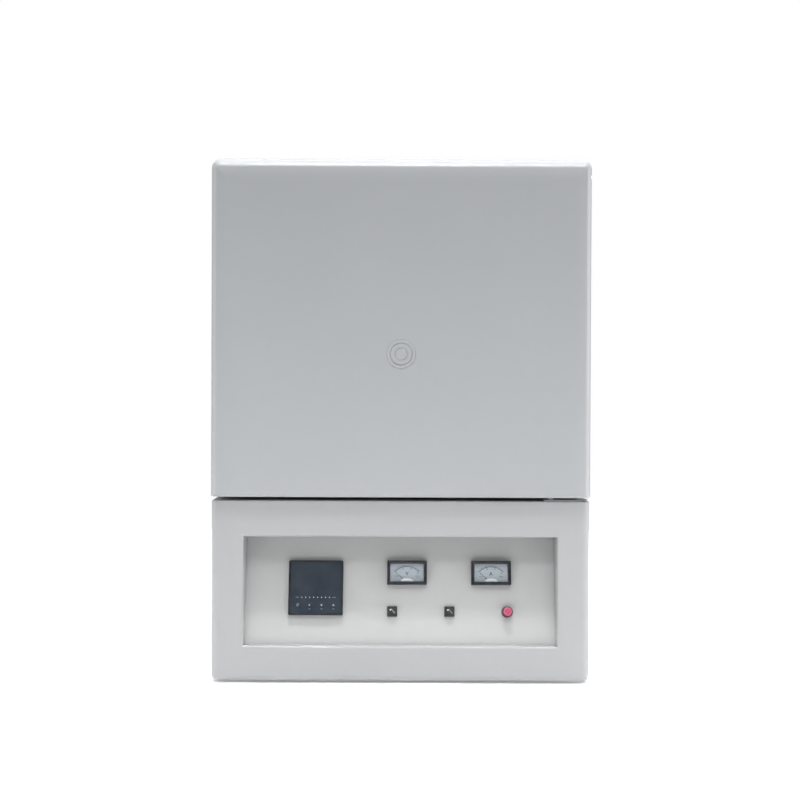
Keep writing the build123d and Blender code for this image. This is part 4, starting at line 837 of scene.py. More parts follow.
def make_finishes(colours):
    """Makes every finish once, under the name of the record's material slot."""
    finishes.update(
        cabinet_paint=powder_paint("case_paint", colours.case),
        door_paint=powder_paint("door_paint", colours.door, 0.33),
        panel_paint=powder_paint("panel_paint", colours.panel, 0.42),
        galvanised=zinc_spangle("zinc_spangle", (0.42, 0.44, 0.45)),
        hinge_steel=plated_steel("hinge_steel", (0.30, 0.31, 0.32), 0.36),
        screw_steel=plated_steel("screw_steel", colours.steel, 0.28),
        bush_brass=plated_steel("bush_brass", (0.62, 0.44, 0.20), 0.3),
        stainless=plated_steel("brushed_stainless", colours.steel, 0.3, (1, 1, 0.03)),
        fibre_board=fibre_board("fibre_board", colours.fibre),
        ceramic=fired_ceramic("fired_ceramic", (0.72, 0.68, 0.60)),
        hearth=fired_ceramic("hearth_ceramic", (0.50, 0.44, 0.37), 0.75),
        silicide=glassy_rod("silicide_rod", (0.06, 0.06, 0.065)),
        aluminium=plated_steel("drawn_aluminium", (0.66, 0.67, 0.68), 0.35, (1, 1, 0.03)),
        black_spacer=moulded_plastic("black_spacer", (0.02, 0.021, 0.022), 0.6),
        rubber=soft_rubber("foot_rubber", (0.022, 0.022, 0.023)),
        seal_fibre=woven_seal("seal_braid", (0.72, 0.70, 0.64)),
        black_plastic=moulded_plastic("black_plastic", colours.black, 0.42, shine=0.28),
        dark_face=glossy_face("controller_face", colours.face),
        key_face=glossy_face("key_face", colours.face),
        meter_glass=clear_lens("meter_lens"),
        dial_card=dial_card("meter_card", colours.dial),
        needle_black=ink("pointer_black", (0.010, 0.011, 0.014), 0.45),
        red_lens=tinted_cap("button_cap", colours.cap),
        core_iron=laminated_iron("core_iron", (0.14, 0.13, 0.13)),
        winding=wound_wire("wound_wire", (0.36, 0.10, 0.03)),
        gland_plastic=moulded_plastic("gland_plastic", (0.05, 0.05, 0.052), 0.5),
        knob_plastic=moulded_plastic("knob_plastic", (0.032, 0.032, 0.034), 0.5),
        print=ink("dial_print", colours.print),
        # White ink for the knobs' real index dots and for the painted highlight lines along their
        # bars
        white_mark=ink("white_mark", (0.80, 0.81, 0.82)),
        grey_mark=ink("grey_mark", (0.34, 0.40, 0.44)),
        # Darker copy of the cap's red: painted shade on the cap's side and inside the collar's lip
        cap_rim=tinted_cap("button_rim", (0.16, 0.008, 0.030)),
        # Lighter copy of the cap's red: painted highlight on the bead round the cap's face
        cap_bead=tinted_cap("button_bead", lighter(colours.cap, 0.25)),
        mask=dial_card("meter_mask", (0.95, 0.96, 0.98)),
    )


class FURNACE_OT_finishes(Operator):
    """Gives every node of the frame the procedural finish of its material slot"""

    bl_idname = "furnace.finishes"
    bl_label = "Finishes"

    def execute(self, context):
        make_finishes(context.scene.furnace_colours)
        for subpart in frame["record"]["subparts"]:
            for place in frame["nodes"][subpart["node"]].material_slots:
                place.material = finishes[subpart["material_slot"]]
        return {"FINISHED"}


class FURNACE_OT_door(Operator):
    """Rolls the door's painted pan, with its port, finger grip and hinge slot"""

    bl_idname = "furnace.door"
    bl_label = "Door"

    def execute(self, context):
        case = context.scene.furnace_case
        self.pan(case)
        self.port(case)
        self.grip()
        self.plug()
        return {"FINISHED"}

    def pan(self, case):
        """Side walls, rolled edge and face as nested loops round the door's outline.

        The edge is a quarter circle, partly flattened to a chamfer. Its radius is the side's
        where a loop faces sideways, the top's where it faces up and the hem's where it faces
        down, and each loop is drawn in on every side by its own radius. The face runs on in
        rings that end in the port's circle. The finger grip and the hinge arm's slot stay open.
        """
        wall_rows, grip_rows_across, roll_steps, face_rings = 4, 12, 10, 15
        least_corner, narrow, cup_gap = 0.4, 0.5, 0.1
        width, depth, height = door_high - door_low
        middle = (door_high[2] + door_low[2]) / 2
        port = (0.0, (port_low[2] + port_high[2]) / 2 - middle)
        grip_middle = (grip_low + grip_high) / 2
        grip_half = (grip_high - grip_low) / 2
        grip_margin = np.array([0.0, 3.5, 6.0])
        grip_reach = grip_half + grip_margin
        grip_rows = grip_middle[1] - door_low[1] + np.array([-1, 1]) * grip_reach[1]
        grip_ends = grip_middle[2] - middle + np.array([1, -1]) * grip_reach[2]
        arm_drop, arm_slot, arm_front = sizes_in_mm(case, "arm_drop", "arm_slot", "arm_front")
        arm_ends = arm_high[2] - arm_drop - middle + np.array([-0.5, 0.5]) * arm_slot
        side_roll, top_roll, hem_roll, top_corner, low_corner = sizes_in_mm(
            case, "door_side_roll", "door_top_roll", "door_hem_roll", "door_top_corner",
            "door_low_corner",
        )
        loop, outward = self.outline(width, height, top_corner, low_corner, grip_ends, arm_ends)
        up = outward[:, 1]
        roll = side_roll + (top_roll - side_roll) * ease(up) + (hem_roll - side_roll) * ease(-up)
        levels = np.union1d(
            np.linspace(side_roll, depth, wall_rows), np.linspace(*grip_rows, grip_rows_across)
        )[::-1]
        share = ((levels - side_roll) / (depth - side_roll))[:, None]
        drawn_in, drawn_back = roll_shares(roll_steps, case.door_flatness)
        behind = np.vstack([roll + share * (depth - roll), drawn_back[:, None] * roll])
        loops = [loop] * len(levels)
        for drawn in drawn_in:
            sides, top, hem = drawn * side_roll, drawn * top_roll, drawn * hem_roll
            fall = (hem - top) / 2
            inner, _ = self.outline(
                width - 2 * sides, height - top - hem,
                max(top_corner - (sides + top) / 2, least_corner),
                max(low_corner - (sides + hem) / 2, least_corner),
                grip_ends - fall, arm_ends - fall,
            )
            loops.append(inner + (0.0, fall))
        flat = np.stack(loops)
        circle = on_circle(np.arctan2(flat[-1, :, 1] - port[1], flat[-1, :, 0]))
        hole = mm(case.port_radius) + mm(case.port_gap)
        ring = np.linspace(0, 1, face_rings + 1)[1:, None, None]
        flat = np.concatenate([
            flat, flat[-1] * (1 - ring) + (circle * (hole + narrow) + port) * ring,
            (circle * hole + port)[None],
        ])
        behind = np.vstack([behind, np.zeros((len(ring) + 1, len(loop)))])
        points = joined(flat[..., 0], door_low[1] + behind, flat[..., 1] + middle)
        # Cells of the finger grip and of the hinge arm stay open
        low_row, high_row = np.searchsorted(-levels, -grip_rows[::-1])
        first, last = on_side(loop, outward, -1, grip_ends)[[0, -1]]
        rolled = np.count_nonzero(drawn_back * side_roll > arm_front)
        keep = np.ones((len(points) - 1, len(loop)), dtype=bool)
        keep[low_row:high_row, first:last] = False
        keep[: len(levels) + rolled, on_side(loop, outward, 1, arm_ends)[:-1]] = False
        pan = Sheet()
        index = pan.grid(points, ring=True, keep=keep)
        rim = rim_of(index, (low_row, high_row), (first, last))
        edge = points.reshape(-1, 3)[rim] - grip_middle
        radius = grip_half[1]
        straight = grip_half[2] - radius
        anchor = np.clip(edge[:, 2], -straight, straight)
        spoke = joined(edge[:, 1], edge[:, 2] - anchor)
        spoke *= (radius + cup_gap) / np.linalg.norm(spoke, axis=1, keepdims=True)
        slot = spoke + grip_middle[1:] + joined(0 * anchor, anchor)
        pan.inside(rim, joined(door_low[0], slot[:, 0], slot[:, 1])[None])
        made = pan.piece("door_skin", "door", ["door_paint"], ["door_pan"])
        thicken(made, mm(case.sheet))

    def outline(self, width, height, top_corner, low_corner, left_marks, right_marks):
        """One loop of the door, with its left and right sides cut where the openings need it."""
        return rounded_loop(
            width, height, (top_corner, top_corner, low_corner, low_corner), arc=12, sides=46,
            marks=((), left_marks, (), right_marks),
        )

    def port(self, case):
        """Two flush rings and a middle, each a profile turned round the port's axis."""
        place = (0.0, port_high[1], (port_low[2] + port_high[2]) / 2), FRONTWARDS
        rise = port_high[1] - port_low[1]
        outer, groove, cap, gap = sizes_in_mm(
            case, "port_radius", "port_groove", "port_cap", "port_gap"
        )
        rings = Sheet()
        profile = soft_profile(
            [(cap + gap, 0), (cap + gap, rise - 0.6), (cap + gap + 0.6, rise), (groove - 0.8, rise),
             (groove - 0.3, rise - 1.4), (groove + 0.3, rise - 1.4), (groove + 0.8, rise),
             (outer - 0.6, rise), (outer, rise - 0.6), (outer, 0)],
            (0, 0.3, 0.3, 0.2, 0.05, 0.2, 0.3, 0.3, 0),
        )
        rings.form(turned_rows(profile, 96), place, head=False)
        rings.piece("port_rings", "door", ["door_paint"], ["port_ring"])
        middle = Sheet()
        dome = soft_profile(
            [(cap, 0), (cap, rise - 0.6), (cap - 0.9, rise), (0.5, rise)], (0.3, 0.5)
        )
        middle.form(turned_rows(dome, 72), place)
        middle.piece("port_middle", "door", ["door_paint"], ["port_cap"])

    def grip(self):
        """The finger cup: a profile carried round a slot, down its wall and over its floor."""
        deep, wide, tall = grip_high - grip_low
        thickness = 1.2
        floor = thickness - deep
        profile = soft_profile(
            [(0, -1.5), (0, 0), (thickness, 0), (1.6, floor), (wide / 2 - 0.5, floor)],
            (0.3, 0.5, 4.0), 7,
        )
        rows = loop_rows(wide, tall, wide / 2 - 0.01, profile, arc=14, sides=6)
        cup = Sheet()
        cup.form(rows, ((grip_low[0], *(grip_low + grip_high)[1:] / 2), LEFTWARDS))
        cup.piece(
            "finger_cup", "door", ["black_plastic"], ["finger_grip"], inward=True
        )

    def plug(self):
        """The tapered plug: loops that shrink towards its rounded tip."""
        low, high = corners("door_plug")
        size, deep, _ = high - low
        profile = soft_profile([(0, 0), (8.0, -deep), (size / 2 - 5.0, -deep)], (5.0,), 8)
        rows = loop_rows(size, size, 16.0, profile, arc=8, sides=10)
        block = Sheet()
        block.form(rows, ((0.0, low[1], (low[2] + high[2]) / 2), FRONTWARDS))
        block.piece("plug_block", "door", ["fibre_board"], ["door_plug"])


def recess_size(case):
    """Half the width and half the height of the cabinet's recess, and its middle's height."""
    half_width, foot, top = sizes_in_mm(case, "recess_half_width", "recess_foot", "recess_top")
    return np.array([half_width, (top - foot) / 2]), (top + foot) / 2


class FURNACE_OT_cabinet(Operator):
    """Bends the control cabinet's shell and the walls of its recess"""

    bl_idname = "furnace.cabinet"
    bl_label = "Control cabinet"

    def execute(self, context):
        case = context.scene.furnace_case
        self.shell(case)
        self.recess(case)
        return {"FINISHED"}

    def shell(self, case):
        """An upright profile carried along the plan outline, from one rear edge to the other.

        The profile runs from the middle of the underside round the lower edge, up the wall,
        round the upper edge and back to the middle of the top.
        """
        side, foot, head, lip = sizes_in_mm(
            case, "base_side_roll", "base_foot_roll", "base_top_roll", "recess_lip"
        )
        half, rear, high = base_high
        front, low = base_low[1:]
        opening, recess_middle = recess_size(case)
        flat_margin, bend_steps, fold_steps, lip_steps = 9.0, 9, 8, 6
        block = opening + flat_margin
        block_ends = recess_middle + block[1] * np.array([-1, 1])
        along = np.linspace(rear, front + side, 14)[:-1]
        across = np.union1d(np.linspace(-half + side, half - side, 40), (-block[0], block[0]))[1:-1]
        arc = on_circle(np.linspace(0, QUARTER, bend_steps))
        plan = self.both_sides(
            joined(-half, along), (-half + side, front + side) - side * arc, joined(across, front)
        )
        outward = self.both_sides(joined(-1.0, 0 * along), -arc, joined(0 * across, -1.0))
        cosine, sine = on_circle(np.linspace(0, QUARTER, fold_steps)).T
        walls = np.union1d(np.linspace(low + foot, high - head, 12), block_ends)[1:-1]
        inset = np.concatenate([foot * (1 - sine), 0 * walls, head * (1 - cosine)])
        level = np.concatenate([low + foot * (1 - cosine), walls, high - head * (1 - sine)])
        flat = plan - inset[:, None, None] * outward
        spine = joined(0.0, np.clip(plan[:, 1], front + half, rear))
        flat = np.concatenate([spine[None], flat, spine[None]])
        level = np.concatenate([[low], level, [high]])
        points = lifted(flat, level[:, None])
        # The recess: its block of cells gives way to a rolled lip
        rows = np.flatnonzero(np.isclose(level[:, None], block_ends).any(axis=1))
        columns = np.flatnonzero(
            np.isclose(np.abs(plan[:, 0]), block[0]) & np.isclose(outward[:, 1], -1)
        )
        keep = np.ones((len(points) - 1, len(plan) - 1), dtype=bool)
        keep[slice(*rows), slice(*columns)] = False
        shell = Sheet()
        rim = rim_of(shell.grid(points, keep=keep), rows, columns)
        share = (points.reshape(-1, 3)[rim, ::2] - (0.0, recess_middle)) / block
        cosine, sine = on_circle(np.linspace(0, QUARTER, lip_steps)).T[..., None]
        lips = share * (opening + lip * (1 - sine))[:, None]
        depth = front + lip * (1 - cosine)
        shell.inside(rim, joined(lips[..., 0], depth, lips[..., 1] + recess_middle))
        made = shell.piece(
            "cabinet_skin", "cabinet", ["cabinet_paint"], ["base_shell"]
        )
        thicken(made, mm(case.sheet))

    def both_sides(self, side, bend, face):
        """The left side and bend, the face, and the same bend and side mirrored to the right."""
        left = np.concatenate([side, bend])
        return np.concatenate([left, face, (left * (-1, 1))[::-1]])

    def recess(self, case):
        """The recess's four walls: a rounded loop carried back until it meets the leaning panel."""
        opening, middle = recess_size(case)
        width, height = 2 * opening
        lip = mm(case.recess_lip)
        loop, _ = rounded_loop(width, height, lip, arc=5, sides=24)
        level = loop[:, 1] + middle
        start = base_low[1] + lip
        end = panel_middle[1] - (level - panel_middle[2]) * panel_out[2] / panel_out[1]
        share = np.linspace(0, 1, 6)[:, None]
        walls = Sheet()
        walls.grid(joined(loop[:, 0], start + share * (end - start), level), ring=True)
        made = walls.piece(
            "recess_walls", "cabinet", ["cabinet_paint"], ["panel_well"],
            inward=True,
        )
        thicken(made, mm(case.sheet))


class FURNACE_OT_body(Operator):
    """Bends the body's top cover over its sides"""

    bl_idname = "furnace.body"
    bl_label = "Body"

    def execute(self, context):
        case = context.scene.furnace_case
        arc = mm(case.door_top_corner) * (1 - on_circle(np.linspace(0, QUARTER, 14)))
        (left, front, foot), (right, rear, top) = top_low, top_high
        left_bend = joined(left + arc[:, 0], top - arc[:, 1])
        right_bend = joined(right - arc[:, 0], top - arc[:, 1])[::-1]
        span = np.linspace(left_bend[-1], right_bend[0], 20)[1:-1]
        outline = np.concatenate([[(left, foot)], left_bend, span, right_bend, [(right, foot)]])
        cover = Sheet()
        cover.grid(joined(outline[:, 0], np.linspace(front, rear, 12)[:, None], outline[:, 1]))
        made = cover.piece(
            "top_skin", "cabinet", ["cabinet_paint"], ["top_cover"]
        )
        thicken(made, mm(case.sheet))
        return {"FINISHED"}


# Corners of the flat signs on the keys: the arrow head of an open ring, and pointers to the
# left, downwards and upwards
KEY_SIGNS = np.array([
    [(1.0, 0.9), (2.7, 1.0), (2.0, 2.6), (1.6, 1.8)],
    [(-2.4, 0.0), (0.9, -1.9), (0.3, 0.0), (0.9, 1.9)],
    [(0.0, -2.1), (2.1, 1.4), (0.0, 1.0), (-2.1, 1.4)],
    [(0.0, 2.1), (-2.1, -1.4), (0.0, -1.0), (2.1, -1.4)],
])
SIGN_LIFT = 0.17
# The open ring: its inner and outer radius, the angles of its two ends, and its lift
RING_RADII = np.array([1.5, 2.1])[:, None, None]
RING_ENDS = math.radians(40), math.radians(330)
RING_LIFT = 0.16


class FURNACE_OT_controller(Operator):
    """Makes the controller's rim, its keys and their marks"""

    bl_idname = "furnace.controller"
    bl_label = "Controller"

    def execute(self, context):
        sizes = context.scene.furnace_panel
        x, size, rise, rim = sizes_in_mm(
            sizes, "controller_x", "controller_size", "controller_rise", "controller_rim"
        )
        place = place_on_panel(x, 0.0)
        profile = soft_profile(
            [(0, 0), (0, rise - 0.2), (1.1, rise + 0.5), (rim - 0.4, rise + 0.5), (rim, rise - 1.2),
             (rim + 3.0, rise - 1.25)],
            (0.8, 0.4, 0.3, 0.1),
        )
        bezel = Sheet()
        bezel.form(loop_rows(size, size, 2.5, profile, sides=4), place)
        bezel.piece(
            "controller_bezel", "cabinet", ["black_plastic"], ["controller_housing"],
        )
        self.keys(sizes, x, rise)
        self.marks(sizes, place, rise)
        return {"FINISHED"}

    def keys(self, sizes, x, rise):
        """Keys with softly crowned tops, each with its own sign."""
        width, height, pitch, row = sizes_in_mm(
            sizes, "key_width", "key_height", "key_pitch", "key_row"
        )
        crown = soft_profile(
            [(0, -3.3), (0, -0.25), (0.5, 0.02), (height / 2 - 0.4, 0.12)], (0.3, 0.3)
        )
        rows = loop_rows(width, height, 1.4, crown, sides=3)
        for number in range(sizes.key_count):
            across = x + pitch * (number - (sizes.key_count - 1) / 2)
            place = place_on_panel(across, -row, rise)
            cap = Sheet()
            cap.form(rows, place)
            sign = number % len(KEY_SIGNS)
            if sign == 0:
                # The ring is left open at the right, where its arrow head is
                arc = on_circle(np.linspace(*RING_ENDS, 24))
                cap.grid(put(lifted(arc * RING_RADII, RING_LIFT), place), kind=1)
            cap.strips(lifted(KEY_SIGNS[sign], SIGN_LIFT)[None], place, kind=1)
            cap.piece(
                f"key_cap_{number + 1}", f"key_{number + 1}", ["key_face", "grey_mark"],
                [f"controller_key_{number + 1}"],
            )

    def marks(self, sizes, place, rise):
        """Small lamps between two dashes over the keys, and a dash under each key but the first."""
        key_row, key_height, key_pitch = sizes_in_mm(sizes, "key_row", "key_height", "key_pitch")
        lamp_count, lamp_pitch, lamp_row, dash_x, dash_drop = 8, 7.0, 13.5, 32.5, 2.2
        lift = rise + 0.04
        row = lamp_row - key_row
        marks = Sheet()
        lamp = turned_rows([(1.05, 0.0), (0.9, 0.06), (0.4, 0.09)], 20)
        for across in lamp_pitch * (np.arange(lamp_count) - (lamp_count - 1) / 2):
            marks.form(lamp + (across, row, lift), place)
        marks.strips(bars(2.6, 0.3, [(-dash_x, row, lift), (dash_x, row, lift)]), place)
        under = -key_row - key_height / 2 - dash_drop
        turns = key_pitch * (np.arange(1, sizes.key_count) - (sizes.key_count - 1) / 2)
        marks.strips(bars(1.43, 0.27, [(across, under, lift) for across in turns]), place)
        marks.piece("controller_marks", "cabinet", ["grey_mark"], loose=True)


class FURNACE_OT_meters(Operator):
    """Makes the two meters: frames, printed scales, masks and pointers"""

    bl_idname = "furnace.meters"
    bl_label = "Meters"

    def execute(self, context):
        sizes = context.scene.furnace_panel
        self.frames(sizes)
        self.scales(sizes)
        self.masks(sizes)
        self.pointers(sizes)
        return {"FINISHED"}

    def places(self, sizes):
        """The middle of each meter on the panel."""
        voltmeter_x, ammeter_x, y = sizes_in_mm(sizes, "voltmeter_x", "ammeter_x", "meter_y")
        return place_on_panel(voltmeter_x, y), place_on_panel(ammeter_x, y)

    def frames(self, sizes):
        """A mitred frame: straight outer wall, flat land, then a bevel down to the lens."""
        width, height, rise, rim = sizes_in_mm(
            sizes, "meter_width", "meter_height", "meter_rise", "meter_rim"
        )
        profile = soft_profile(
            [(0, 0), (0, rise), (1.5, rise), (rim - 0.5, rise - 1.9), (rim, rise - 2.2),
             (rim, 2.5)],
            (0.5, 0.5, 0.2, 0.2), 4,
        )
        rows = loop_rows(width, height, 1.0, profile, arc=4, sides=3)
        frames = Sheet()
        for place in self.places(sizes):
            frames.form(rows, place, head=False)
        frames.piece(
            "meter_frames", "cabinet", ["black_plastic"], ["meter_cases"]
        )

    def scales(self, sizes):
        """Each scale: a heavy arc, a fine arc above it, divisions between them and figures."""
        radius, drop, lift = sizes_in_mm(sizes, "dial_radius", "pointer_drop", "dial_lift")
        lift += 0.05
        pivot = np.array([0.0, -drop])
        division_count, long_step, thirds = 31, 5, 3
        figure_size, figure_inset, unit_size = 3.2, 3.6, 8.6
        arc = on_circle(QUARTER - np.linspace(-HALF_SWEEP, HALF_SWEEP, 41))
        bands = [
            lifted(np.stack([arc * (radius + inner), arc * (radius + outer)]) + pivot, lift)
            for inner, outer in ((-0.85, 0.3), (2.2, 2.5))
        ]
        long_ones = (np.arange(division_count) % long_step == 0)[:, None]
        reach = np.where(long_ones, radius + 3.1, radius + 2.2)
        ahead = on_circle(QUARTER - np.linspace(-HALF_SWEEP, HALF_SWEEP, division_count))
        beside = ahead[:, ::-1] * (-1, 1) * np.where(long_ones, 0.16, 0.09)
        foot, head = ahead * radius + pivot, ahead * reach + pivot
        cells = np.stack([foot - beside, foot + beside, head + beside, head - beside], axis=1)
        lines = np.concatenate([
            bars(3.6, 0.35, [(-17.5, -5.6, lift), (17.5, -5.6, lift)]),
            bars(2.52, 0.21, [(-18.5, -7.8, lift), (18.5, -7.8, lift)]),
        ])
        marks = Sheet()
        for place, unit, step in zip(self.places(sizes), "VA", (10, 20)):
            for band in bands:
                marks.grid(put(band, place))
            marks.strips(lifted(cells, lift), place)
            for number in range(thirds + 1):
                spoke = on_circle(QUARTER - (number / thirds * 2 - 1) * HALF_SWEEP)
                spot = (radius - figure_inset) * spoke + pivot
                marks.letters(str(step * number), figure_size, spot, lift, place, weight=0.06)
            marks.letters(unit, unit_size, (0.0, -1.6), lift, place, weight=0.22)
            marks.strips(lines, place)
        marks.piece("meter_print", "cabinet", ["print"], loose=True)

    def masks(self, sizes):
        """A half-round cover over each pivot: half an ellipse, domed and cut off at the frame."""
        height, rim, lift = sizes_in_mm(sizes, "meter_height", "meter_rim", "pointer_lift")
        foot = rim - height / 2 - 0.3
        half_width, full_height, thickness = 11.6, 6.4, 0.4
        oval = on_circle(np.linspace(0, np.pi, 33)) * (half_width, full_height)
        dome = ((1.0, 0.8), (1.0, 1.9), (0.95, 2.2), (0.6, 2.5), (0.02, 2.6))
        rows = np.stack([lifted(oval * share + (0.0, foot), lift + rise) for share, rise in dome])
        masks = Sheet()
        for place in self.places(sizes):
            masks.grid(put(rows, place))
        thicken(masks.piece("meter_masks", "cabinet", ["mask"]), thickness)

    def pointers(self, sizes):
        """Each needle: a thin tapering blade on a hub, laid at the zero end of its scale."""
        reach, drop, lift = sizes_in_mm(sizes, "pointer_length", "pointer_drop", "pointer_lift")
        ahead = on_circle(QUARTER + HALF_SWEEP)
        beside = ahead[::-1] * (-1, 1)
        share = np.linspace(0, 1, 12)[:, None]
        width = 0.55 * (1 - share) ** 0.7 + 0.16
        spine = ahead * reach * share - (0, drop)
        section = ((-1, 0.2), (0, 0.5), (1, 0.2), (0, 0.0))
        rows = np.stack(
            [lifted(spine + side * width * beside, lift + rise) for side, rise in section], axis=1
        )
        hub = soft_profile([(1.05, 0.05), (1.5, 0.05), (1.5, 0.55), (1.05, 0.55)], (0.1, 0.1), 3)
        for place, name in zip(self.places(sizes), ("voltmeter", "ammeter")):
            needle = Sheet()
            needle.form(rows, place, foot=True)
            needle.form(turned_rows(hub, 24) + (0, -drop, lift), place, head=False)
            needle.piece(
                f"{name}_pointer", f"{name}_pointer", ["needle_black"], [f"{name}_needle"],
            )


class FURNACE_OT_selectors(Operator):
    """Makes the two selector switches with their bar knobs"""

    bl_idname = "furnace.selectors"
    bl_label = "Selector switches"

    def execute(self, context):
        sizes = context.scene.furnace_panel
        row, left_x, right_x, size, rise, radius, bar = sizes_in_mm(
            sizes, "control_row", "selector_left_x", "selector_right_x", "selector_size",
            "selector_rise", "knob_radius", "knob_rise",
        )
        places = [place_on_panel(left_x, row), place_on_panel(right_x, row)]
        profile = soft_profile([(0, 0), (0, rise), (0.9, rise)], (0.6,))
        outer = loop_rows(size, size, 1.6, profile, arc=5, sides=5)
        circle = on_circle(np.arctan2(outer[-1, :, 1], outer[-1, :, 0]))
        well = ((radius + 0.55, rise), (radius + 0.3, rise - 0.25), (radius + 0.3, rise - 2.0))
        rows = np.concatenate([outer, [lifted(reach * circle, lift) for reach, lift in well]])
        housings = Sheet()
        for place in places:
            housings.form(rows, place)
        housings.piece(
            "selector_frames", "cabinet", ["knob_plastic"], ["selector_housings"]
        )
        for place, name in zip(places, ("left", "right")):
            self.knob(place, name, radius, rise, bar)
        return {"FINISHED"}

    def knob(self, place, name, radius, rise, bar):
        """A turned skirt and a bar across it, pinched at its waist, with a white dot and a painted
        highlight line.

        The bar is a slot outline whose half width shrinks to 0.82 of itself at the waist; its
        profile rises, rounds over and closes along the ridge.
        """
        skirt = soft_profile(
            [(3.0, rise - 1.7), (radius, rise - 1.7), (radius, rise + 0.4), (2.0, rise + 0.8)],
            (0.3, 0.6),
        )
        knob = Sheet()
        knob.form(turned_rows(skirt, 56), place)
        profile = soft_profile([(0, rise + 0.3), (0.35, rise + bar), (2.0, rise + bar)], (0.5,), 6)
        rows = loop_rows(2 * radius - 1.0, 4.6, 2.25, profile, arc=8, sides=8)
        waist = 0.82
        rows[..., 1] *= waist + (1 - waist) * np.abs(rows[..., 0]).clip(0, radius) / radius
        cosine, sine = on_circle(math.radians(135))
        axes = np.array([(cosine, sine, 0), (-sine, cosine, 0), (0, 0, 1)])
        knob.form(rows @ axes, place)
        dot = turned_rows([(1.3, 0.0), (1.15, 0.12), (0.5, 0.16)], 20)
        knob.form((dot + (radius - 3.4, 0.55, rise + bar)) @ axes, place, kind=1)
        # Painted highlight: a pale strip along the bar's upper right edge, where light catches it;
        # the dot is the knob's real index mark
        line = np.array([[(-5.8, -1.35, 0), (-5.8, -0.95, 0), (4.3, -1.35, 0), (4.6, -1.8, 0)]])
        knob.strips((line + (0, 0, rise + bar + 0.05)) @ axes, place, kind=1)
        knob.piece(
            f"{name}_knob", f"{name}_selector", ["knob_plastic", "white_mark"],
            [f"{name}_selector_knob"],
        )


class FURNACE_OT_push_button(Operator):
    """Turns the push button's collar and its coloured cap"""

    bl_idname = "furnace.push_button"
    bl_label = "Push button"

    def execute(self, context):
        sizes = context.scene.furnace_panel
        place = place_on_panel(*sizes_in_mm(sizes, "button_x", "control_row"))
        collar, rise, cap, proud, face = sizes_in_mm(
            sizes, "button_radius", "button_rise", "cap_radius", "cap_rise", "cap_face"
        )
        top = rise + proud
        neck = collar - 0.6
        wall = soft_profile(
            [(collar, 0), (collar, 1.6), (neck, 2.0), (neck, rise - 0.3)], (0.5, 0.2)
        )
        # The collar's lip and bore take the darker red of the cap: painted shade
        lip = soft_profile(
            [(neck, rise - 0.3), (neck, rise), (cap + 0.35, rise), (cap + 0.35, 2.0), (0.5, 2.0)],
            (0.3, 0.3, 0),
        )
        # The cap's side takes the darker red: painted shade
        rim = soft_profile(
            [(cap, 5.8), (cap, top - 0.2), (face + 0.3, top - 0.2), (face + 0.1, top - 0.5)],
            (0.7, 0.1), 6,
        )
        # The bead round the face takes the lighter red: a painted highlight
        bead = soft_profile(
            [(face + 0.1, top - 0.5), (face, top), (face - 0.7, top), (face - 0.8, top - 0.3)],
            (0.2, 0.2), 4,
        )
        lens = soft_profile([(face - 0.8, top - 0.3), (face / 2, top - 0.1), (0.4, top)], (1.5,), 6)
        ring = Sheet()
        ring.form(turned_rows(wall, 72), place, head=False)
        ring.form(turned_rows(lip, 72), place, kind=1)
        ring.piece(
            "button_collar", "cabinet", ["black_plastic", "cap_rim"], ["button_housing"],
        )
        button = Sheet()
        button.form(turned_rows(rim, 72), place, kind=1, head=False, foot=True)
        button.form(turned_rows(bead, 72), place, kind=2, head=False)
        button.form(turned_rows(lens, 72), place)
        button.piece(
            "button_lens", "push_button", ["red_lens", "cap_rim", "cap_bead"], ["button_cap"],
        )
        return {"FINISHED"}


class FURNACE_OT_chamber(Operator):
    """Bends the heating elements that hang in the chamber"""

    bl_idname = "furnace.chamber"
    bl_label = "Heating elements"

    def execute(self, context):
        low, high = corners("heating_elements")
        roof_low, _ = corners("insulation_roof")
        hot, shank, gap, pitch, drop = sizes_in_mm(
            context.scene.furnace_inside,
            "element_hot", "element_shank", "element_gap", "element_pitch", "element_drop",
        )
        x_out = high[0] - shank
        middle = (low[1] + high[1]) / 2
        bend = low[2] + hot + gap / 2
        leg = joined(-gap / 2, np.linspace(high[2], bend, 60)[:-1])
        curve = gap / 2 * on_circle(np.linspace(np.pi, TURN, 25)) + (0.0, bend)
        along, level = np.concatenate([leg, curve, (leg * (-1, 1))[::-1]]).T
        neck = ease((level - roof_low[2] + drop) / (shank - hot) / 2)
        radius = (hot + (shank - hot) * neck)[:, None, None]
        rods = Sheet()
        for side in (-1, 1):
            for number in range(3):
                path = joined(side * x_out, middle + pitch * (number - 1) + along, level)
                index = rods.grid(tube_rows(path, radius, (1.0, 0.0, 0.0), around=16), ring=True)
                rods.close(index[0][::-1], path[0])
                rods.close(index[-1], path[-1])
        rods.piece("element_rods", "cabinet", ["silicide"], ["heating_elements"])
        return {"FINISHED"}


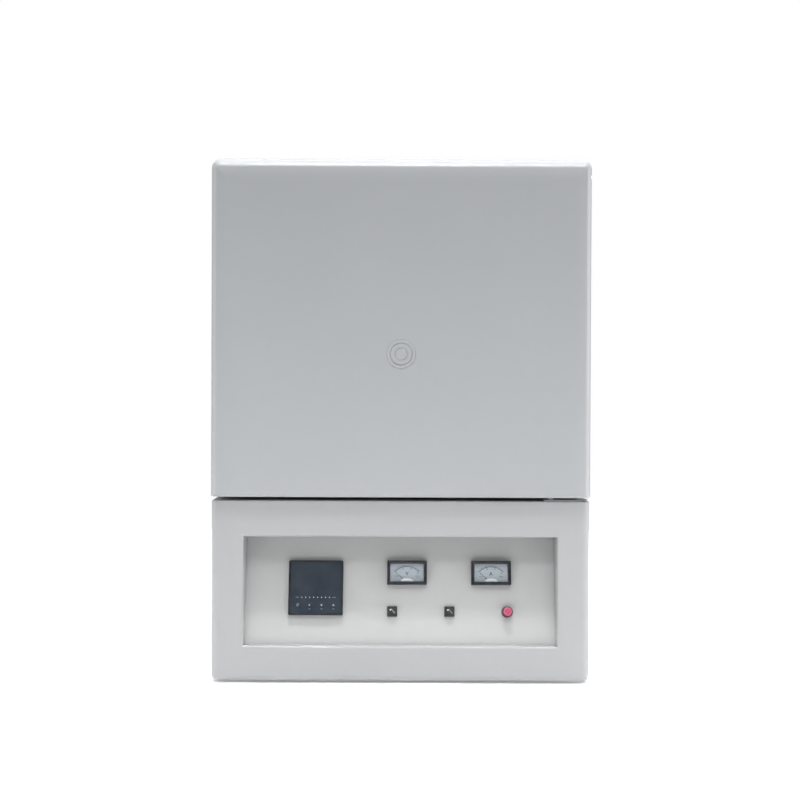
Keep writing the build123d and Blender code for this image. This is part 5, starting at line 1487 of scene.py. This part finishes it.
class FURNACE_OT_rear(Operator):
    """Makes the fan's guard and rotor, the screws and the feet"""

    bl_idname = "furnace.rear"
    bl_label = "Rear parts and feet"

    def execute(self, context):
        sizes = context.scene.furnace_inside
        self.guard(sizes)
        self.rotor(sizes)
        self.screws(sizes)
        self.feet(sizes)
        return {"FINISHED"}

    def guard(self, sizes):
        """Wire rings and spokes: circles carried round circles and along short lines."""
        low, high = corners("fan_guard")
        middle = (low + high) / 2
        wire = (high[1] - low[1]) / 2
        pitch, eye = sizes_in_mm(sizes, "guard_pitch", "guard_eye")
        spoke_start, spoke_end = 4.0, 69.0
        guard = Sheet()
        cosine, sine = on_circle(np.linspace(0, TURN, 72, endpoint=False)).T
        circle = joined(cosine, 0.0, sine)
        for number in range(sizes.guard_rings):
            path = middle + pitch * (number + 1) * circle
            guard.grid(tube_rows(path, wire, (0.0, 1.0, 0.0), ring=True, around=10), ring=True)
        plate = soft_profile([(6.2, -wire), (6.2, wire), (0.4, wire)], (0.6,), 4)
        guard.form(turned_rows(plate, 36), (middle, BACKWARDS))
        face = wire * 0.4
        washer = soft_profile([(2.2, -wire), (8.0, -wire), (8.0, face), (2.2, face)], (0.2, 0.5), 4)
        for corner in range(4):
            cosine, sine = on_circle((corner + 0.5) * QUARTER)
            ahead = np.array([cosine, 0.0, sine])
            path = middle + np.linspace(spoke_start, spoke_end, 20)[:, None] * ahead
            guard.grid(tube_rows(path, wire * 0.9, (0.0, 1.0, 0.0), around=10), ring=True)
            spot = middle + ahead * eye * math.sqrt(2)
            guard.form(turned_rows(washer, 36), (spot, BACKWARDS), head=False)
        guard.piece("guard_wires", "cabinet", ["stainless"], ["fan_guard"], sharp=50.0)

    def rotor(self, sizes):
        """A cup hub with blades; each blade is a bent strip that twists as it goes out."""
        low, high = corners("fan_rotor")
        middle = (low + high) / 2
        rear = (high[1] - low[1]) / 2
        hub, tip, root_chord, tip_chord = sizes_in_mm(
            sizes, "fan_hub", "fan_tip", "root_chord", "tip_chord"
        )
        rotor = Sheet()
        cup = soft_profile(
            [(hub, -rear), (hub, rear), (8.0, rear), (7.0, rear - 1.0), (0.5, rear - 1.0)],
            (2.5, 0.4, 0.4),
        )
        rotor.form(turned_rows(cup, 64), (middle, BACKWARDS), foot=True)
        camber_height, thickness, lean = 1.6, 1.1, 0.18
        out = np.linspace(0, 1, 14)[:, None]
        wide = np.linspace(-1, 1, 14)[None]
        radius = hub - 0.5 + (tip - hub) * out
        # The pitch is measured from the fan's plane
        pitch = QUARTER - (sizes.root_pitch + (sizes.tip_pitch - sizes.root_pitch) * out)
        along = (root_chord + (tip_chord - root_chord) * out) / 2 * wide
        camber = camber_height * (1 - wide**2)
        sweep = (along * np.sin(pitch) + camber * np.cos(pitch)) / radius + lean * out
        axial = along * np.cos(pitch) - camber * np.sin(pitch)
        for number in range(sizes.fan_blades):
            angle = sweep + TURN / sizes.fan_blades * number
            blade = middle + joined(radius * np.cos(angle), axial, radius * np.sin(angle))
            back = blade + (0.0, thickness, 0.0)
            around = np.concatenate([blade, back[:, ::-1]], axis=1)
            index = rotor.grid(around, ring=True)
            rotor.close(index[-1], around[-1].mean(axis=0))
        rotor.piece("rotor_blades", "rotor", ["black_plastic"], ["fan_rotor"])

    def screws(self, sizes):
        """Domed heads with a cross pressed in.

        The lift of a head falls with the fourth power of the radius. The cross lowers it where
        the smaller of the two distances from the cross's arms is short.
        """
        radius, rise = sizes_in_mm(sizes, "screw_head", "screw_rise")
        arm_half, arm_edge, arm_depth, arm_reach, reach_edge = 0.3, 0.3, 0.55, 0.45 * radius, 0.4
        edge_fall = 0.75
        ring = np.linspace(1, 0, 9)[:, None]
        turn = np.linspace(0, TURN, 48, endpoint=False)
        across, up = radius * ring * np.cos(turn), radius * ring * np.sin(turn)
        beside = np.minimum(np.abs(across), np.abs(up))
        ahead = np.maximum(np.abs(across), np.abs(up))
        narrow = 1 - ease((beside - arm_half) / arm_edge)
        short = 1 - ease((ahead - arm_reach) / reach_edge)
        lift = rise * (1 - edge_fall * ring**4 - arm_depth * narrow * short)
        dome = joined(across, up, lift)
        across = np.array([-1.0, 0.0, 0.0])
        screws = Sheet()
        for points in loose_screws("case_screws"):
            size = np.ptp(points, axis=0)
            if points[0, 1] > 0:
                out = np.array([0.0, 1.0, 0.0])
            else:
                out = np.array([0.0, 0.0, 1.0]) if size[2] > size[1] else -panel_out
            climb = points @ out
            head = points[climb > climb.max() - rise / 2]
            origin = (head.min(axis=0) + head.max(axis=0)) / 2
            origin += out * (climb.max() - rise - origin @ out)
            shank = turned_rows([(radius / 2, climb.min() - climb.max() + rise), (radius / 2, 0.0)])
            rows = np.concatenate([shank, dome[:1] * (1, 1, 0), dome])
            screws.form(rows, (origin, np.array([across, np.cross(out, across), out])), foot=True)
        screws.piece("cross_screws", "cabinet", ["screw_steel"], ["case_screws"])

    def feet(self, sizes):
        """Four turned rubber pads with a bulge at half their height."""
        low, high = corners("rubber_feet")
        radius = mm(sizes.foot_radius)
        profile = soft_profile(
            [(0.5, 0.0), (radius - 0.6, 0.0), (radius, 1.2), (radius - 1.2, 3.0), (0.5, 3.0)],
            (0.4, 0.8, 0.3), 4,
        )
        rows = turned_rows(profile, 56)
        feet = Sheet()
        for x in (low[0] + radius, high[0] - radius):
            for y in (low[1] + radius, high[1] - radius):
                feet.form(rows, ((x, y, 0.0), UPWARDS), foot=True)
        feet.piece("foot_pads", "cabinet", ["rubber"], ["rubber_feet"])


# Each soft box: where it hangs, what it looks at, its two sides, and whether it is gathered
FURNACE_MIDDLE = (0.0, 0.0, 0.5)
SOFT_BOXES = {
    "top": ((0.0, 0.2, 2.6), FURNACE_MIDDLE, (2.6, 1.8), False),
    "left": ((-2.4, -0.5, 0.9), FURNACE_MIDDLE, (1.2, 1.8), False),
    "right": ((2.4, -0.5, 0.9), FURNACE_MIDDLE, (1.2, 1.8), False),
    "front": ((0.0, -1.9, 2.0), (0.0, -0.3, 0.12), (1.2, 0.5), True),
    "ledge": ((0.0, -0.75, 2.4), (0.0, -0.3, 0.065), (1.2, 0.2), True),
}


class FURNACE_OT_studio(Operator):
    """Lays the floor, hangs the lights and sets the camera"""

    bl_idname = "furnace.studio"
    bl_label = "Studio"

    def execute(self, context):
        scene = context.scene
        studio = scene.furnace_studio
        scene.view_settings.view_transform = "Standard"
        self.floor(studio)
        self.sky(scene, studio)
        for name, (spot, target, size, gathered) in SOFT_BOXES.items():
            power = getattr(studio, f"{name}_power")
            light = self.soft_box(f"{name}_light", spot, target, size, power)
            if gathered:
                light.spread = studio.front_spread
        self.camera(scene, studio)
        return {"FINISHED"}

    def floor(self, studio):
        """A wide disc of rings round the furnace, level with its feet."""
        reach = np.linspace(0, 1, 24)[1:] ** 2 * mm(studio.floor_reach)
        disc = Sheet()
        disc.form(turned_rows(joined(reach, 0.0)[::-1], 64), (np.zeros(3), UPWARDS))
        mesh = bpy.data.meshes.new("floor")
        mesh.from_pydata(np.concatenate(disc.points) * MM, [], disc.faces)
        mesh.materials.append(
            studio_floor("studio_floor", studio.floor, studio.floor_near, studio.floor_far)
        )
        ground = bpy.data.objects.new("floor", mesh)
        bpy.context.scene.collection.objects.link(ground)

    def sky(self, scene, studio):
        """Even light that is stronger from above than from the front, before a white backdrop."""
        world = bpy.data.worlds.new("studio_sky")
        scene.world = world
        world.use_nodes = True
        tree = world.node_tree
        tree.nodes.clear()
        out = tree.nodes.new("ShaderNodeOutputWorld")
        place = tree.nodes.new("ShaderNodeTexCoord")
        split = tree.nodes.new("ShaderNodeSeparateXYZ")
        rise = tree.nodes.new("ShaderNodeMapRange")
        rise.inputs["To Min"].default_value = studio.sky_low
        rise.inputs["To Max"].default_value = studio.sky_high
        light = tree.nodes.new("ShaderNodeBackground")
        light.inputs["Color"].default_value = (0.97, 0.985, 1.0, 1.0)
        paper = tree.nodes.new("ShaderNodeBackground")
        paper.inputs["Color"].default_value = (*studio.backdrop, 1.0)
        rays = tree.nodes.new("ShaderNodeLightPath")
        mix = tree.nodes.new("ShaderNodeMixShader")
        for output, inlet in (
            (place.outputs["Generated"], split.inputs["Vector"]),
            (split.outputs["Z"], rise.inputs["Value"]),
            (rise.outputs["Result"], light.inputs["Strength"]),
            (rays.outputs["Is Camera Ray"], mix.inputs["Fac"]),
            (light.outputs["Background"], mix.inputs[1]),
            (paper.outputs["Background"], mix.inputs[2]),
            (mix.outputs["Shader"], out.inputs["Surface"]),
        ):
            tree.links.new(output, inlet)

    def soft_box(self, name, spot, target, size, power):
        """A large soft area light that looks at a target."""
        data = bpy.data.lights.new(name, "AREA")
        data.shape = "RECTANGLE"
        data.size, data.size_y = size
        data.energy = power
        lamp = bpy.data.objects.new(name, data)
        lamp.location = spot
        way = np.array(target) - np.array(spot)
        flat = math.hypot(way[0], way[1])
        lamp.rotation_euler = (math.atan2(flat, -way[2]), 0.0, math.atan2(-way[0], way[1]))
        bpy.context.scene.collection.objects.link(lamp)
        return data

    def camera(self, scene, studio):
        """A camera square to the front, turned by small yaw, pitch and roll angles."""
        data = bpy.data.cameras.new("camera")
        data.lens = studio.lens
        data.sensor_width = 36.0
        camera = bpy.data.objects.new("camera", data)
        east, north = math.cos(studio.yaw), math.sin(studio.yaw)
        rise, level_share = math.sin(studio.pitch), math.cos(studio.pitch)
        ahead = Vector((north * level_share, east * level_share, rise))
        level = Vector((east, -north, 0.0))
        upright = level.cross(ahead)
        right = level * math.cos(studio.roll) + upright * math.sin(studio.roll)
        up = upright * math.cos(studio.roll) - level * math.sin(studio.roll)
        camera.matrix_world = Matrix((right, up, -ahead)).transposed().to_4x4()
        camera.location = (studio.shift, door_low[1] * MM - studio.distance, studio.height)
        scene.collection.objects.link(camera)
        scene.camera = camera
        bpy.context.view_layer.update()


class FURNACE_PT_panel(Panel):
    """Lists the furnace's operators and sizes"""

    bl_idname = "FURNACE_PT_panel"
    bl_label = "Furnace"
    bl_space_type = "VIEW_3D"
    bl_region_type = "UI"
    bl_category = "Furnace"

    def draw(self, context):
        layout = self.layout
        for group in GROUPS:
            box = layout.box()
            settings = getattr(context.scene, group)
            for name in settings.__annotations__:
                box.prop(settings, name)
        for operator in OPERATORS:
            layout.operator(operator.bl_idname)


GROUPS = {
    "furnace_case": FurnaceCase,
    "furnace_panel": FurnacePanel,
    "furnace_inside": FurnaceInside,
    "furnace_colours": FurnaceColours,
    "furnace_studio": FurnaceStudio,
}
OPERATORS = (
    FURNACE_OT_finishes,
    FURNACE_OT_door,
    FURNACE_OT_cabinet,
    FURNACE_OT_body,
    FURNACE_OT_controller,
    FURNACE_OT_meters,
    FURNACE_OT_selectors,
    FURNACE_OT_push_button,
    FURNACE_OT_chamber,
    FURNACE_OT_rear,
    FURNACE_OT_studio,
)


def register():
    """Registers the sizes, the operators and the panel."""
    for made in (*GROUPS.values(), *OPERATORS, FURNACE_PT_panel):
        bpy.utils.register_class(made)
    for name, group in GROUPS.items():
        setattr(bpy.types.Scene, name, PointerProperty(type=group))


def unregister():
    """Takes them away again."""
    for name in reversed(GROUPS):
        delattr(bpy.types.Scene, name)
    for made in reversed((*GROUPS.values(), *OPERATORS, FURNACE_PT_panel)):
        bpy.utils.unregister_class(made)


def main():
    """Dresses the frame, piece by piece."""
    register()
    bpy.ops.furnace.finishes()
    bpy.ops.furnace.door()
    bpy.ops.furnace.cabinet()
    bpy.ops.furnace.body()
    bpy.ops.furnace.controller()
    bpy.ops.furnace.meters()
    bpy.ops.furnace.selectors()
    bpy.ops.furnace.push_button()
    bpy.ops.furnace.chamber()
    bpy.ops.furnace.rear()
    bpy.ops.furnace.studio()
    bpy.context.view_layer.update()


if __name__ == "__main__":
    main()
